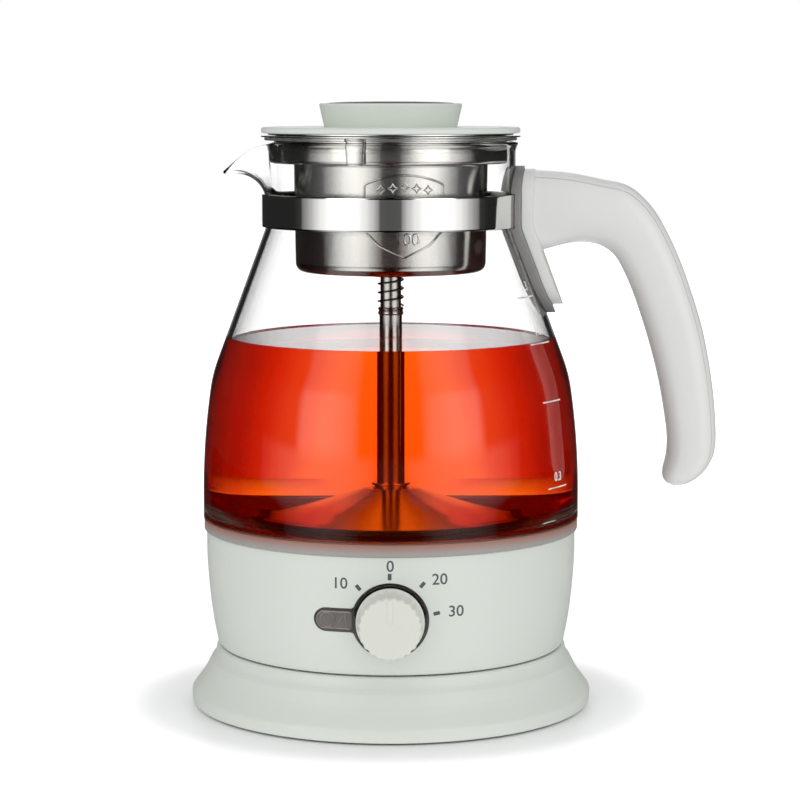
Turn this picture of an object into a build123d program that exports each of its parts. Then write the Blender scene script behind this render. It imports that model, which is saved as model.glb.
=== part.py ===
from build123d import *
import os
from math import cos, pi, radians, sin, sqrt

os.makedirs("parts", exist_ok=True)

# Automatic steam tea maker: a power base, a glass jug on a heater housing with a
# hooked handle and a dial, a steel leaf basket with a spring-loaded riser tube and
# cone, and a lid. Millimetres, +Z up. The origin is on the jug's axis at the
# surface the foot ring stands on; the dial faces -Y, the handle +X, the spout -X.

# ---- Driving dimensions ----------------------------------------------------------

# Clearances
lift_gap = 0.3  # between a part that lifts off and what it rests on
fit_gap = 0.15  # between two pieces that are fixed together
run_gap = 0.05  # radial, between a shaft and its bore
overrun = 5.0  # how far a cutter runs past what it cuts

# Power base
foot_ring_proud = 1.2  # how far the rubber ring holds the base off the table
foot_ring_seat = 0.8  # how deep the rubber ring sits in the bottom plate
foot_ring_in = 8.5  # middle of the ring, inside the foot
foot_ring_w = 6.0
base_foot_r = 77.5
base_lip_h = 4.6  # upright edge at the foot
base_waist_in = 5.6  # how far the hollow flank goes in at the waist
base_waist_z = 13.0
base_flare = 9.9  # how far the foot stands out past the top
base_shoulder_z = 21.8
base_top_z = 23.2
base_wall = 2.4
base_edge_r = 1.1
plate_t = 2.4
base_screw_r = 1.5
base_screw_in = 21.5
base_boss_r = 4.0
gland_z = 10.0
gland_r = 4.6
gland_bore_r = 3.3
gland_flange_r = 6.0
gland_flange_t = 2.0
gland_length = 13.5
gland_lead_gap = 6.0  # room for the end of the cord's sheath inside the gland
gland_end_inset = 0.5  # how far the gland stops short of the foot radius

# Coupling between base and jug
tower_r = 16.5
tower_h = 10.5  # above the deck of the base
tower_flange_r = 22.0
tower_flange_t = 2.0
tower_edge_r = 1.0
tower_floor_t = 1.0  # how far its holes go below the deck's top
tower_slot_r = 9.5  # middle of the ring slot
tower_slot_w = 3.2
tower_pin_bore_r = 3.0
tower_box_w = 26.0
tower_box_d = 20.0
tower_box_h = 6.0
contact_h = 2.0
blade_t = 1.0
pin_r = 2.0
pin_tail = 4.0
socket_gap = 1.5  # between the tower and the socket around it
socket_wall = 1.6
socket_flange_w = 4.0

# Heater housing
housing_low_in = 0.4  # the foot of its wall inside the top of the base
housing_foot_h = 1.3
housing_dial_out = 3.1  # how far its wall has come out at the dial
housing_top_out = 4.05
housing_full_h = 8.4  # upright stretch at the top of the wall
housing_h = 44.8
housing_wall = 2.4
housing_edge_r = 1.1
base_gap = 0.4  # seam between base and housing
cover_t = 2.4
housing_screw_in = 15.2
housing_screw_angles = (90, 210, 330)
housing_boss_r = 4.0
housing_boss_h = 14.0
boss_end_t = 2.0  # boss left past the end of its screw hole

# Heating plate and what it carries
seal_h = 4.7
seal_out = 0.95
seal_foot_t = 0.8
seal_inner_in = 5.75
seal_over_plate = 1.8
plate_in = 3.25
plate_sheet_t = 0.8
spreader_r = 46.0
spreader_t = 3.0
element_ring_r = 36.0
element_tube_r = 4.0
element_gap_deg = 60.0
element_leg_h = 8.0
thermostat_r = 8.5
thermostat_h = 6.0
blade_pitch = 8.0
blade_w = 4.0
blade_h = 5.0
fuse_r = 2.2
fuse_length = 12.0
fuse_x = 22.0
probe_r = 2.6
probe_length = 8.0
probe_x = -22.0
lead_r = 1.1
lead_pitch = 7.0

# Dial and what is behind it
dial_down = 23.7  # below the top of the housing
knob_r = 11.8
knob_face_r = 11.1
knob_depth = 13.4
knob_flutes = 24
knob_flute_r = 0.75
knob_flute_pitch_r = 12.05
knob_wall = 2.2
knob_boss_r = 5.0
knob_edge_r = 0.5
pointer_w = 2.0
pointer_length = 9.0
pointer_proud = 0.3
knob_floor_t = 2.8  # between the face and the end of the shaft
knob_gap = 0.4
shaft_r = 3.0
shaft_hole_gap = 0.6
lens_r = 13.8
lens_tab_x = 27.3
lens_tab_h = 8.6
lens_proud = 0.2
switch_w = 22.0
switch_d = 11.6
switch_front_gap = 3.4
switch_floor_t = 2.0
board_w = 58.0
board_h = 32.0
board_t = 1.6
board_boss_x = 24.0
board_boss_drop = 11.0
board_boss_r = 3.2
board_screw_r = 1.3
board_screw_bite = 5.0
screw_end_gap = 1.0
led_r = 1.6
led_x = 23.0
led_length = 7.0

# Glass jug
glass_wall = 2.2
glass_out = 1.25  # past the top of the housing
body_h = 27.9  # upright part of the glass
bend_fillet = 280.0
shoulder_in = 3.75
shoulder_h = 54.9
shoulder_fillet = 55.0
neck_r = 47.8
neck_up = 111.5  # start of the neck, above the seal ring
neck_fillet = 8.0
neck_h = 32.4
rim_flare = 0.9
rim_flare_h = 3.0
rim_edge_r = 0.6
spout_wall = 1.9
spout_least = 0.6  # smallest half size of the channel's end
# Sections of the beak: how far out from the neck, half width, depth, drop of its edge
spout_stations = [
    (-6.0, 18.5, 24.0, 0.0),
    (1.0, 14.5, 18.4, 0.4),
    (5.0, 11.2, 12.6, 1.9),
    (9.5, 8.0, 8.2, 4.2),
    (14.0, 5.0, 4.8, 7.9),
    (16.4, 3.0, 2.6, 10.2),
]
spout_end = (24.0, 17.0)  # where the slope of its edge would go on to

# Clamp band and handle
band_gap = 0.35
band_t = 0.8
band_h = 12.6
band_up = 6.2  # middle of the band, above the start of the neck
tang_y = 5.6  # middle of each band end, either side of the handle's plane
tang_reach = 18.2  # ends of the band, out from the neck
band_screw_reach = 12.2
band_screw_r = 1.9
band_screw_head_r = 3.4
band_screw_head_h = 2.4
gasket_gap = 0.1
gasket_t = 3.3
gasket_w = 30.0
gasket_above = 18.2  # above and below the middle of the band
gasket_below = 39.3
bracket_t = 4.0
bracket_w = 27.0
bracket_above = 16.8
bracket_below = 35.8
saddle_corner_r = 8.0
handle_w = 24.0
handle_edge_r = 5.0
handle_above = 15.5
# The handle's outline, round its edge: out from the neck, below the top, corner radius
handle_corners = [
    (0.0, 0.0, 0.0),
    (49.0, 7.0, 26.0),
    (76.2, 58.5, 170.0),
    (78.2, 122.0, 11.0),
    (55.8, 122.0, 2.2),
    (60.8, 105.3, 20.0),
    (54.0, 67.1, 200.0),
    (37.9, 27.3, 22.0),
    (19.2, 27.3, 18.0),
    (0.0, 32.8, 0.0),
]
spine_t = 2.4  # thickness of the cover strip along the handle's back
handle_wall = 4.0
handle_hollow_w = 14.0
root_length = 26.2  # solid stretch next to the bracket
root_h = 36.3
root_pocket_w = 19.6
root_pocket_gap = 1.0
handle_screw_r = 1.4
handle_screw_head_r = 2.6
handle_screw_head_h = 1.6
handle_screw_length = 11.0
handle_screw_seat_t = 0.8  # between the screw's head and the glass side of the bracket
screw_tip_gap = 1.0
handle_screw_high = 10.1  # above and below the middle of the band
handle_screw_low = 10.2

# Leaf basket
basket_t = 0.6
flange_out = 0.9  # past the rim of the glass
basket_seal_h = 1.3
collar_gap = 1.0  # between the collar and the inside of the neck
collar_h = 9.9
step_w = 7.5
cup_draft = 0.7
cup_h = 41.6
cup_edge_r = 3.5
drain_hole_r = 1.0
drain_rings = 3
drain_first_r = 14.0
drain_ring_step = 7.0
drain_hole_pitch = 5.2
bush_r = 6.0
bush_flange_r = 9.0
bush_flange_t = 1.6
bush_nut_h = 2.0
sieve_in = 3.6  # inside the collar
sieve_t = 0.6
sieve_dish_in = 2.6  # inside the top of the cup
sieve_dish_h = 4.4
sieve_bore_r = 8.0
sieve_hole_r = 1.2
sieve_margin = 4.0  # from the last ring of holes to the dish's edge
sieve_rings = 3
sieve_first_r = 13.0

# Riser tube, spring and cone
tube_r = 4.0
tube_bore_r = 3.3
tube_below_apex = 2.7
stop_down = 12.9  # below the bush
stop_r = 4.95
stop_h = 3.0
stop_sleeve_r = 4.35
stop_sleeve_h = 9.2
spring_wire_r = 0.4
spring_r = 4.7
spring_turns = 3.0
spring_end_gap = 0.1
cone_in = 4.0  # inside its seal
cone_apex_r = 5.5
cone_apex_h = 15.4  # above the foot of the cone's seal
cone_rim_h = 3.0
cone_t = 0.6
cone_collar_h = 1.4
cone_seal_in = 3.6  # so that it passes the neck
cone_seal_w = 4.6
cone_inlet_r = 0.9
cone_inlets = 4
cone_inlet_deg = -56.0
cap_r = 7.0
cap_h = 6.5
cap_chamber_h = 1.9
cap_top_t = 1.0
cap_jet_r = 0.7
cap_jets = 8
cap_edge_r = 1.6
cap_low_edge_r = 0.6
riser_travel = 5.0

# Lid
lid_in = 0.5  # inside the flange
lid_t = 3.1
lid_edge_r = 1.1
liner_t = 0.5
liner_in = 2.6
liner_skirt_in = 1.3  # inside the collar
liner_skirt_h = 6.7
lid_seal_h = 2.0
lid_seal_gap = 0.25
grip_low_r = 24.9
grip_top_r = 26.9
grip_h = 8.5
grip_wall = 2.2
grip_edge_r = 0.8
grip_boss_r = 6.0
cap_disc_in = 4.1
cap_disc_t = 1.4
cap_dome = 1.4
lid_screw_r = 1.9
lid_screw_head_r = 3.8
lid_screw_head_h = 2.0

# ---- Places worked out from them ---------------------------------------------------

foot_z = foot_ring_proud
base_top_r = base_foot_r - base_flare
base_waist_r = base_foot_r - base_waist_in
foot_ring_r = base_foot_r - foot_ring_in
base_screw_pitch_r = base_foot_r - base_screw_in
base_plate_r = base_foot_r - base_wall - fit_gap
gland_inner_y = base_foot_r - gland_length
deck_z = base_top_z - base_wall
housing_foot_z = base_top_z + base_gap
housing_low_z = housing_foot_z + housing_foot_h
housing_top_z = housing_foot_z + housing_h
housing_full_z = housing_top_z - housing_full_h
housing_low_r = base_top_r - housing_low_in
housing_dial_r = housing_low_r + housing_dial_out
housing_top_r = housing_low_r + housing_top_out
housing_screw_pitch_r = housing_low_r - housing_screw_in
dial_z = housing_top_z - dial_down
cover_top_z = housing_foot_z + cover_t
tower_top_z = base_top_z + tower_h
tower_flange_z = deck_z - tower_flange_t
slot_floor_z = base_top_z - tower_floor_t
socket_r = tower_r + socket_gap
socket_top_z = tower_top_z + socket_gap
seal_top_z = housing_top_z + seal_h
seal_r = housing_top_r + seal_out
seal_inner_r = housing_top_r - seal_inner_in
plate_r = housing_top_r - plate_in
plate_low_z = housing_top_z + seal_foot_t
plate_top_z = plate_low_z + plate_sheet_t
spreader_low_z = plate_low_z - spreader_t
element_z = spreader_low_z - element_tube_r
element_low_z = element_z - element_leg_h
dial_wall_y = -housing_dial_r
dial_inner_y = dial_wall_y + housing_wall
knob_back_y = -housing_top_r - lens_proud - knob_gap
knob_front_y = knob_back_y - knob_depth
switch_front_y = dial_inner_y + switch_front_gap
board_front_y = switch_front_y + switch_d
board_back_y = board_front_y + board_t
glass_r = housing_top_r + glass_out
bend_z = seal_top_z + body_h
shoulder_r = glass_r - shoulder_in
shoulder_z = seal_top_z + shoulder_h
neck_z = seal_top_z + neck_up
rim_z = neck_z + neck_h
rim_r = neck_r + rim_flare
shoulder_slope = (shoulder_r - neck_r) / (neck_z - shoulder_z)
band_z = neck_z + band_up
band_low_z = band_z - band_h / 2
band_top_z = band_z + band_h / 2
band_r = neck_r + band_gap
tang_x = neck_r + tang_reach
band_screw_x = neck_r + band_screw_reach
gasket_top_z = band_z + gasket_above
gasket_low_z = band_z - gasket_below
bracket_top_z = band_z + bracket_above
bracket_low_z = band_z - bracket_below
handle_top_z = band_z + handle_above
handle_root_z = handle_top_z - root_h
handle_hollow_x = neck_r + root_length
handle_screw_high_z = band_z + handle_screw_high
handle_screw_low_z = band_z - handle_screw_low
gasket_out = gasket_gap + gasket_t
bracket_in = gasket_out + fit_gap
bracket_out = bracket_in + bracket_t
basket_flange_z = rim_z + lift_gap + basket_seal_h
flange_r = rim_r + flange_out
collar_r = neck_r - glass_wall - collar_gap
cup_top_r = collar_r - step_w
cup_low_r = cup_top_r - cup_draft
step_z = basket_flange_z - collar_h
cup_floor_z = step_z - cup_h
sieve_r = collar_r - sieve_in
sieve_dish_r = cup_top_r - sieve_dish_in
cup_floor_top_z = cup_floor_z + basket_t
sieve_z = step_z + basket_t + lift_gap
bush_low_z = cup_floor_z - bush_nut_h
cone_foot_z = plate_top_z + lift_gap
cone_apex_z = cone_foot_z + cone_apex_h
cone_rim_z = cone_foot_z + cone_rim_h
cone_seal_r = collar_r - cone_seal_in
cone_r = cone_seal_r - cone_in
tube_low_z = cone_apex_z - tube_below_apex
stop_z = bush_low_z - stop_down
stop_top_z = stop_z + stop_h
liner_z = basket_flange_z + basket_t + lift_gap
liner_r = flange_r - liner_in
liner_skirt_r = collar_r - liner_skirt_in
lid_r = flange_r - lid_in
cap_disc_r = grip_top_r - cap_disc_in
lid_z = liner_z + liner_t
cap_top_z = liner_z - lid_screw_head_h - riser_travel - 2 * lift_gap
tube_top_z = cap_top_z - cap_top_t - cap_chamber_h
grip_z = lid_z + lid_t
grip_top_z = grip_z + grip_h


# ---- Shapes that several pieces use ------------------------------------------------

LOW = (Align.CENTER, Align.CENTER, Align.MIN)


def turned(*points):
    """A solid turned about +Z from a closed outline of (radius, height, corner radius)."""
    outline = FilletPolyline(
        *[(point[0], point[1]) for point in points],
        radius=[point[2] if len(point) > 2 else 0 for point in points],
        close=True,
    )
    return revolve(Plane.XZ * make_face(outline), Axis.Z)


def rod(radius, low, high, x=0.0, y=0.0):
    """An upright round bar."""
    return Pos(x, y, low) * Cylinder(radius, high - low, align=LOW)


def rod_x(radius, low, high, y, z):
    """A round bar along X."""
    return Pos(low, y, z) * Rot(0, 90, 0) * Cylinder(radius, high - low, align=LOW)


def rod_y(radius, low, high, x, z):
    """A round bar along Y."""
    return Pos(x, high, z) * Rot(90, 0, 0) * Cylinder(radius, high - low, align=LOW)


def ring(outer, inner, low, high):
    """An upright ring of rectangular section."""
    return rod(outer, low, high) - rod(inner, low - overrun, high + overrun)


def block(x_low, x_high, y_low, y_high, z_low, z_high):
    """A box between two corners."""
    middle = Pos((x_low + x_high) / 2, (y_low + y_high) / 2, (z_low + z_high) / 2)
    return middle * Box(x_high - x_low, y_high - y_low, z_high - z_low)


def around(shape, count, first_deg=0.0):
    """Copies of a shape, evenly spaced about +Z."""
    return [Rot(0, 0, first_deg + 360.0 * i / count) * shape for i in range(count)]


def on_circle(radius, angles):
    """Points (x, y) on a circle round the axis, at angles in degrees from +X."""
    return [(radius * cos(radians(a)), radius * sin(radians(a))) for a in angles]


def hole_rings(hole_r, rings, first_r, step, pitch, low, high):
    """Upright cutters for rings of holes at an even pitch."""
    cutters = []
    for i in range(rings):
        ring_r = first_r + step * i
        count = int(2 * pi * ring_r / pitch)
        cutters += around(rod(hole_r, low, high, ring_r, 0), count)
    return cutters


def write(name, *solids):
    """Writes one node, which may hold several separate solids."""
    shape = solids[0] if len(solids) == 1 else Compound(children=list(solids))
    export_step(shape, f"parts/{name}.step")


# ---- Power base --------------------------------------------------------------------


def base_form(inset, low):
    """The outside of the base, moved in by inset, as a solid that starts at low."""
    foot = base_foot_r - inset
    top = base_top_r - inset
    high = base_top_z - inset
    lip_z = foot_z + base_lip_h - inset / 2
    outline = [
        Line((0, low), (foot, low)),
        Line((foot, low), (foot, lip_z)),
        ThreePointArc((foot, lip_z), (base_waist_r - inset, base_waist_z), (top, base_shoulder_z - inset)),
        Line((top, base_shoulder_z - inset), (top, high)),
        Line((top, high), (0, high)),
        Line((0, high), (0, low)),
    ]
    return revolve(Plane.XZ * make_face(outline), Axis.Z)


def base_screw_places():
    """The four screws through the bottom plate."""
    return on_circle(base_screw_pitch_r, (45, 135, 225, 315))


def make_base_shell():
    form = base_form(0, foot_z)
    form = fillet(form.edges().sort_by(Axis.Z)[-1], base_edge_r)
    shell = form - base_form(base_wall, foot_z - overrun)
    shell -= rod(tower_r + fit_gap, deck_z - overrun, base_top_z + overrun)
    plate_top = foot_z + plate_t
    for x, y in base_screw_places():
        shell += rod(base_boss_r, plate_top, deck_z + base_wall / 2, x, y)
        shell -= rod(base_screw_r, plate_top - overrun, deck_z - base_wall, x, y)
    return shell - rod_y(gland_r + fit_gap, gland_inner_y, base_foot_r + overrun, 0, gland_z)


def make_base_plate():
    plate = rod(base_plate_r, foot_z, foot_z + plate_t)
    outer = foot_ring_r + foot_ring_w / 2
    inner = foot_ring_r - foot_ring_w / 2
    plate -= ring(outer, inner, foot_z - overrun, foot_z + foot_ring_seat)
    for x, y in base_screw_places():
        plate -= rod(base_screw_r + fit_gap, foot_z - overrun, foot_z + plate_t + overrun, x, y)
        plate -= rod(base_screw_r * 2 + fit_gap, foot_z - overrun, foot_z + plate_t / 2, x, y)
    return plate


def make_foot_ring():
    outer = foot_ring_r + foot_ring_w / 2
    inner = foot_ring_r - foot_ring_w / 2
    return ring(outer, inner, 0, foot_z + foot_ring_seat)


def base_screw(x, y):
    seat = foot_z + plate_t / 2
    head = rod(base_screw_r * 2, foot_z + fit_gap, seat, x, y)
    return head + rod(base_screw_r, seat, deck_z - base_wall - 1, x, y)


def make_base_connector():
    """The round tower of the cordless coupling, with its ring slot and pin hole."""
    body = rod(tower_r, tower_flange_z, tower_top_z) + rod(tower_flange_r, tower_flange_z, deck_z)
    half_w = tower_box_w / 2
    half_d = tower_box_d / 2
    body += block(-half_w, half_w, -half_d, half_d, tower_flange_z - tower_box_h, deck_z)
    outer = tower_slot_r + tower_slot_w / 2
    inner = tower_slot_r - tower_slot_w / 2
    body -= ring(outer, inner, slot_floor_z, tower_top_z + overrun)
    body -= rod(tower_pin_bore_r, slot_floor_z, tower_top_z + overrun)
    top_edges = body.edges().group_by(Axis.Z)[-1]
    return fillet(top_edges.sort_by(Edge.length)[-1], tower_edge_r)


def make_base_contacts():
    """Brass contacts at the bottom of the pin hole and of the ring slot."""
    outer = tower_slot_r + tower_slot_w / 2 - fit_gap
    inner = tower_slot_r - tower_slot_w / 2 + fit_gap
    pin = rod(tower_pin_bore_r - fit_gap, slot_floor_z, slot_floor_z + contact_h)
    return [pin, ring(outer, inner, slot_floor_z, slot_floor_z + contact_h)]


def make_cord_gland():
    """The bush in the rear wall that the supply cord passes through."""
    end = base_foot_r - gland_end_inset
    gland = rod_y(gland_r, gland_inner_y, end, 0, gland_z)
    gland += rod_y(gland_flange_r, gland_inner_y - gland_flange_t, gland_inner_y, 0, gland_z)
    return gland - rod_y(gland_bore_r, gland_inner_y - gland_flange_t - overrun, end + overrun, 0, gland_z)


def make_base_leads():
    """Live, neutral and earth, from inside the gland to the back of the tower."""
    leads = []
    start_y = gland_inner_y - gland_flange_t - gland_lead_gap
    box_y = tower_box_d / 2 + lift_gap
    lead_z = tower_flange_z - tower_box_h / 2
    bend_y = (start_y - box_y) / 3
    for side in (-1, 0, 1):
        x = side * lead_pitch
        from_x = side * (lead_r * 2 + lift_gap)
        path = FilletPolyline(
            (from_x, start_y, gland_z),
            (from_x, start_y - bend_y, gland_z),
            (x, box_y + bend_y, lead_z),
            (x, box_y, lead_z),
            radius=bend_y,
        )
        leads.append(sweep(Plane(path @ 0, z_dir=path % 0) * Circle(lead_r), path=path))
    return leads


# ---- Heater housing ----------------------------------------------------------------


def housing_form(inset, low, high=housing_top_z):
    """The outside of the heater housing, moved in by inset, between two heights."""
    outline = [
        Line((0, low), (housing_low_r - inset, low)),
        Line((housing_low_r - inset, low), (housing_low_r - inset, housing_low_z)),
        ThreePointArc(
            (housing_low_r - inset, housing_low_z),
            (housing_dial_r - inset, dial_z),
            (housing_top_r - inset, housing_full_z),
        ),
        Line((housing_top_r - inset, housing_full_z), (housing_top_r - inset, high)),
        Line((housing_top_r - inset, high), (0, high)),
        Line((0, high), (0, low)),
    ]
    return revolve(Plane.XZ * make_face(outline), Axis.Z)


def lens_outline(inset):
    """The dial window seen from the front: a round with a tab to the left."""
    tab_half = lens_tab_h / 2
    tab = Pos(-(lens_tab_x - tab_half) / 2, 0) * Rectangle(lens_tab_x - tab_half, lens_tab_h)
    tab += Pos(-(lens_tab_x - tab_half), 0) * Circle(tab_half)
    window = tab + Circle(lens_r)
    return offset(window, -inset) if inset else window


def lens_prism(inset):
    """The dial window's outline as a bar through the front wall."""
    front = Plane.XZ.offset(-dial_inner_y / 2)
    return extrude(front * Pos(0, dial_z) * lens_outline(inset), -dial_inner_y / 2 + overrun * 2)


def board_boss_places():
    return [(-board_boss_x, dial_z - board_boss_drop), (board_boss_x, dial_z - board_boss_drop)]


def housing_screw_places():
    return on_circle(housing_screw_pitch_r, housing_screw_angles)


def housing_boss(angle, keep):
    """A screw boss with a rib that joins it to the wall, at an angle round the axis."""
    low = cover_top_z + fit_gap
    high = low + housing_boss_h
    boss = rod(housing_boss_r, low, high, housing_screw_pitch_r, 0)
    rib_w = housing_boss_r * 0.6
    boss += block(housing_screw_pitch_r, housing_top_r, -rib_w, rib_w, low, high)
    return (Rot(0, 0, angle) * boss) & keep


def make_heater_housing():
    form = housing_form(0, housing_foot_z)
    form = fillet(form.edges().sort_by(Axis.Z)[0], housing_edge_r)
    shell = form - housing_form(housing_wall, housing_foot_z - overrun, housing_top_z + overrun)
    keep = housing_form(housing_wall / 2, housing_foot_z)
    for angle in housing_screw_angles:
        shell += housing_boss(angle, keep)
    for x, y in housing_screw_places():
        shell -= rod(base_screw_r, cover_top_z - overrun, cover_top_z + housing_boss_h - boss_end_t, x, y)
    for x, z in board_boss_places():
        shell += rod_y(board_boss_r, dial_wall_y, board_front_y, x, z) & keep
        hole_y = board_front_y - board_screw_bite - screw_end_gap
        shell -= rod_y(board_screw_r, hole_y, board_front_y + overrun, x, z)
    return shell - lens_prism(0)


def make_dial_lens():
    """The smoky window around the dial, which follows the curve of the wall."""
    lens = housing_form(-lens_proud, housing_foot_z) - housing_form(housing_wall, housing_foot_z)
    lens = lens & lens_prism(fit_gap)
    return lens - rod_y(shaft_r + shaft_hole_gap, dial_wall_y - overrun, dial_inner_y + overrun, 0, dial_z)


def make_housing_cover():
    cover = rod(housing_low_r - housing_wall - fit_gap, housing_foot_z, cover_top_z)
    cover -= rod(socket_r + socket_wall + fit_gap, housing_foot_z - overrun, cover_top_z + overrun)
    for x, y in housing_screw_places():
        cover -= rod(base_screw_r + fit_gap, housing_foot_z - overrun, cover_top_z + overrun, x, y)
        seat = housing_foot_z + cover_t / 2
        cover -= rod(base_screw_r * 2 + fit_gap, housing_foot_z - overrun, seat, x, y)
    return cover


def housing_screw(x, y):
    seat = housing_foot_z + cover_t / 2
    head = rod(base_screw_r * 2, housing_foot_z + fit_gap, seat, x, y)
    return head + rod(base_screw_r, seat, cover_top_z + housing_boss_h - boss_end_t * 2, x, y)


def make_jug_connector():
    """The socket in the jug's underside that drops over the tower."""
    outer = socket_r + socket_wall
    body = rod(outer, housing_foot_z, socket_top_z + socket_wall)
    body += rod(outer + socket_flange_w, cover_top_z, cover_top_z + socket_wall)
    body -= rod(socket_r, housing_foot_z - overrun, socket_top_z)
    return body - rod(pin_r, socket_top_z - overrun, socket_top_z + socket_wall + overrun)


def make_jug_contacts():
    """The pin and the ring blade that reach down into the tower."""
    low = slot_floor_z + contact_h + lift_gap
    pin = rod(pin_r, low, socket_top_z + socket_wall + pin_tail)
    return [pin, ring(tower_slot_r + blade_t / 2, tower_slot_r - blade_t / 2, low, socket_top_z)]


# ---- Heating plate and its parts -----------------------------------------------------


def make_seal_ring():
    """The grey silicone ring between housing and glass, which grips the plate's edge."""
    lip_r = plate_r - seal_over_plate
    return turned(
        (seal_inner_r, housing_top_z),
        (seal_r, housing_top_z, 0.4),
        (seal_r, seal_top_z, 0.4),
        (plate_r + seal_foot_t, seal_top_z),
        (lip_r, plate_top_z + seal_over_plate),
        (lip_r, plate_top_z),
        (plate_r + run_gap, plate_top_z),
        (plate_r + run_gap, plate_low_z),
        (seal_inner_r, plate_low_z),
    )


def make_heating_plate():
    return rod(plate_r, plate_low_z, plate_top_z)


def make_heat_spreader():
    return rod(spreader_r, spreader_low_z, plate_low_z)


def make_heating_element():
    """A tubular element bent to an open ring, with two legs turned down."""
    start = 90 + element_gap_deg / 2
    section = Plane.XZ * Pos(element_ring_r, element_z) * Circle(element_tube_r)
    element = Rot(0, 0, start) * revolve(section, Axis.Z, 360 - element_gap_deg)
    for angle in (start, 90 - element_gap_deg / 2):
        x = element_ring_r * cos(radians(angle))
        y = element_ring_r * sin(radians(angle))
        element += Pos(x, y, element_z) * Sphere(element_tube_r)
        element += rod(element_tube_r, element_low_z, element_z, x, y)
    return element


def make_thermostat():
    low = spreader_low_z - thermostat_h
    body = rod(thermostat_r, low, spreader_low_z)
    for side in (-1, 1):
        x = side * blade_pitch / 2
        body += block(x - blade_w / 2, x + blade_w / 2, -blade_t / 2, blade_t / 2, low - blade_h, low)
    return body


def make_thermal_fuse():
    z = spreader_low_z - fuse_r
    return rod_y(fuse_r, -fuse_length / 2, fuse_length / 2, fuse_x, z)


def make_temperature_probe():
    return rod(probe_r, spreader_low_z - probe_length, spreader_low_z, probe_x, 0)


def make_element_leads():
    """Two leads from the top of the socket to the legs of the element."""
    leads = []
    leg_x = element_ring_r * sin(radians(element_gap_deg / 2))
    leg_y = element_ring_r * cos(radians(element_gap_deg / 2))
    low = socket_top_z + socket_wall
    turn_z = (low + element_low_z) / 2
    for side in (-1, 1):
        path = FilletPolyline(
            (side * 8, 8, low),
            (side * 8, 8, turn_z),
            (side * leg_x, leg_y, turn_z + 1),
            (side * leg_x, leg_y, element_low_z),
            radius=(element_low_z - low) / 3,
        )
        leads.append(sweep(Plane(path @ 0, z_dir=path % 0) * Circle(lead_r), path=path))
    return leads


# ---- Dial ----------------------------------------------------------------------------


def make_control_board():
    z_low = dial_z - board_h / 2
    board = block(-board_w / 2, board_w / 2, board_front_y, board_back_y, z_low, z_low + board_h)
    for x, z in board_boss_places():
        board -= rod_y(board_screw_r + fit_gap, board_front_y - overrun, board_back_y + overrun, x, z)
    return board


def board_screw(x, z):
    head = rod_y(board_screw_r * 2, board_back_y, board_back_y + board_screw_r * 1.4, x, z)
    return head + rod_y(board_screw_r, board_front_y - board_screw_bite, board_back_y, x, z)


def make_rotary_switch():
    half = switch_w / 2
    body = block(-half, half, switch_front_y, board_front_y, dial_z - half, dial_z + half)
    bore_end = board_front_y - switch_floor_t
    return body - rod_y(shaft_r + run_gap, switch_front_y - overrun, bore_end, 0, dial_z)


def make_indicator_led():
    led = rod_y(led_r, board_front_y - led_length, board_front_y, -led_x, dial_z)
    return fillet(led.edges().sort_by(Axis.Y)[0], led_r * 0.8)


def make_switch_shaft():
    back = board_front_y - switch_floor_t - lift_gap
    return rod_y(shaft_r, knob_front_y + knob_floor_t, back, 0, dial_z)


def make_selector_knob():
    """A fluted knob, hollow behind, with a raised pointer on its face."""
    back = Plane.XZ.offset(-knob_back_y) * Pos(0, dial_z) * Circle(knob_r)
    face = Plane.XZ.offset(-knob_front_y) * Pos(0, dial_z) * Circle(knob_face_r)
    knob = loft([back, face])
    knob = fillet(knob.edges().sort_by(Axis.Y)[0], knob_edge_r)
    groove_y = knob_front_y + knob_edge_r * 2
    for i in range(knob_flutes):
        angle = radians(360.0 * (i + 0.5) / knob_flutes)
        x = knob_flute_pitch_r * sin(angle)
        z = dial_z + knob_flute_pitch_r * cos(angle)
        knob -= rod_y(knob_flute_r, groove_y, knob_back_y + overrun, x, z)
    knob -= rod_y(knob_r - knob_wall, knob_front_y + knob_wall, knob_back_y + overrun, 0, dial_z)
    knob += rod_y(knob_boss_r, knob_front_y + knob_wall / 2, knob_back_y, 0, dial_z)
    knob -= rod_y(shaft_r, knob_front_y + knob_floor_t, knob_back_y + overrun, 0, dial_z)
    tip_z = dial_z + knob_face_r - knob_edge_r
    return knob + block(
        -pointer_w / 2,
        pointer_w / 2,
        knob_front_y - pointer_proud,
        knob_front_y + knob_wall / 2,
        tip_z - pointer_length,
        tip_z,
    )


# ---- Glass jug -----------------------------------------------------------------------


def vessel(outset, low, high):
    """A solid inside the jug's outer surface moved out by outset, between two heights."""
    solid = turned(
        (0, seal_top_z),
        (glass_r + outset, seal_top_z),
        (glass_r + outset, bend_z, bend_fillet),
        (shoulder_r + outset, shoulder_z, shoulder_fillet),
        (neck_r + outset, neck_z, neck_fillet),
        (neck_r + outset, rim_z + overrun),
        (0, rim_z + overrun),
    )
    return solid & rod(glass_r + overrun * 2, low, high)


def vessel_r(z):
    """The jug's outer radius on its neck or on the slope just below it."""
    return neck_r + max(0.0, neck_z - z) * shoulder_slope


def spout_form(inset):
    """The beak of the jug as a solid, made thinner by inset on each side."""
    sections = []
    for out, half_w, depth, drop in spout_stations:
        origin = (-(neck_r + out - inset * 0.8), 0, rim_z - drop)
        plane = Plane(origin=origin, x_dir=(0, 1, 0), z_dir=(-1, 0, 0))
        half = max(half_w - inset, spout_least)
        sections.append(plane * Ellipse(half, max(depth - inset, spout_least)))
    return loft(sections)


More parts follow.
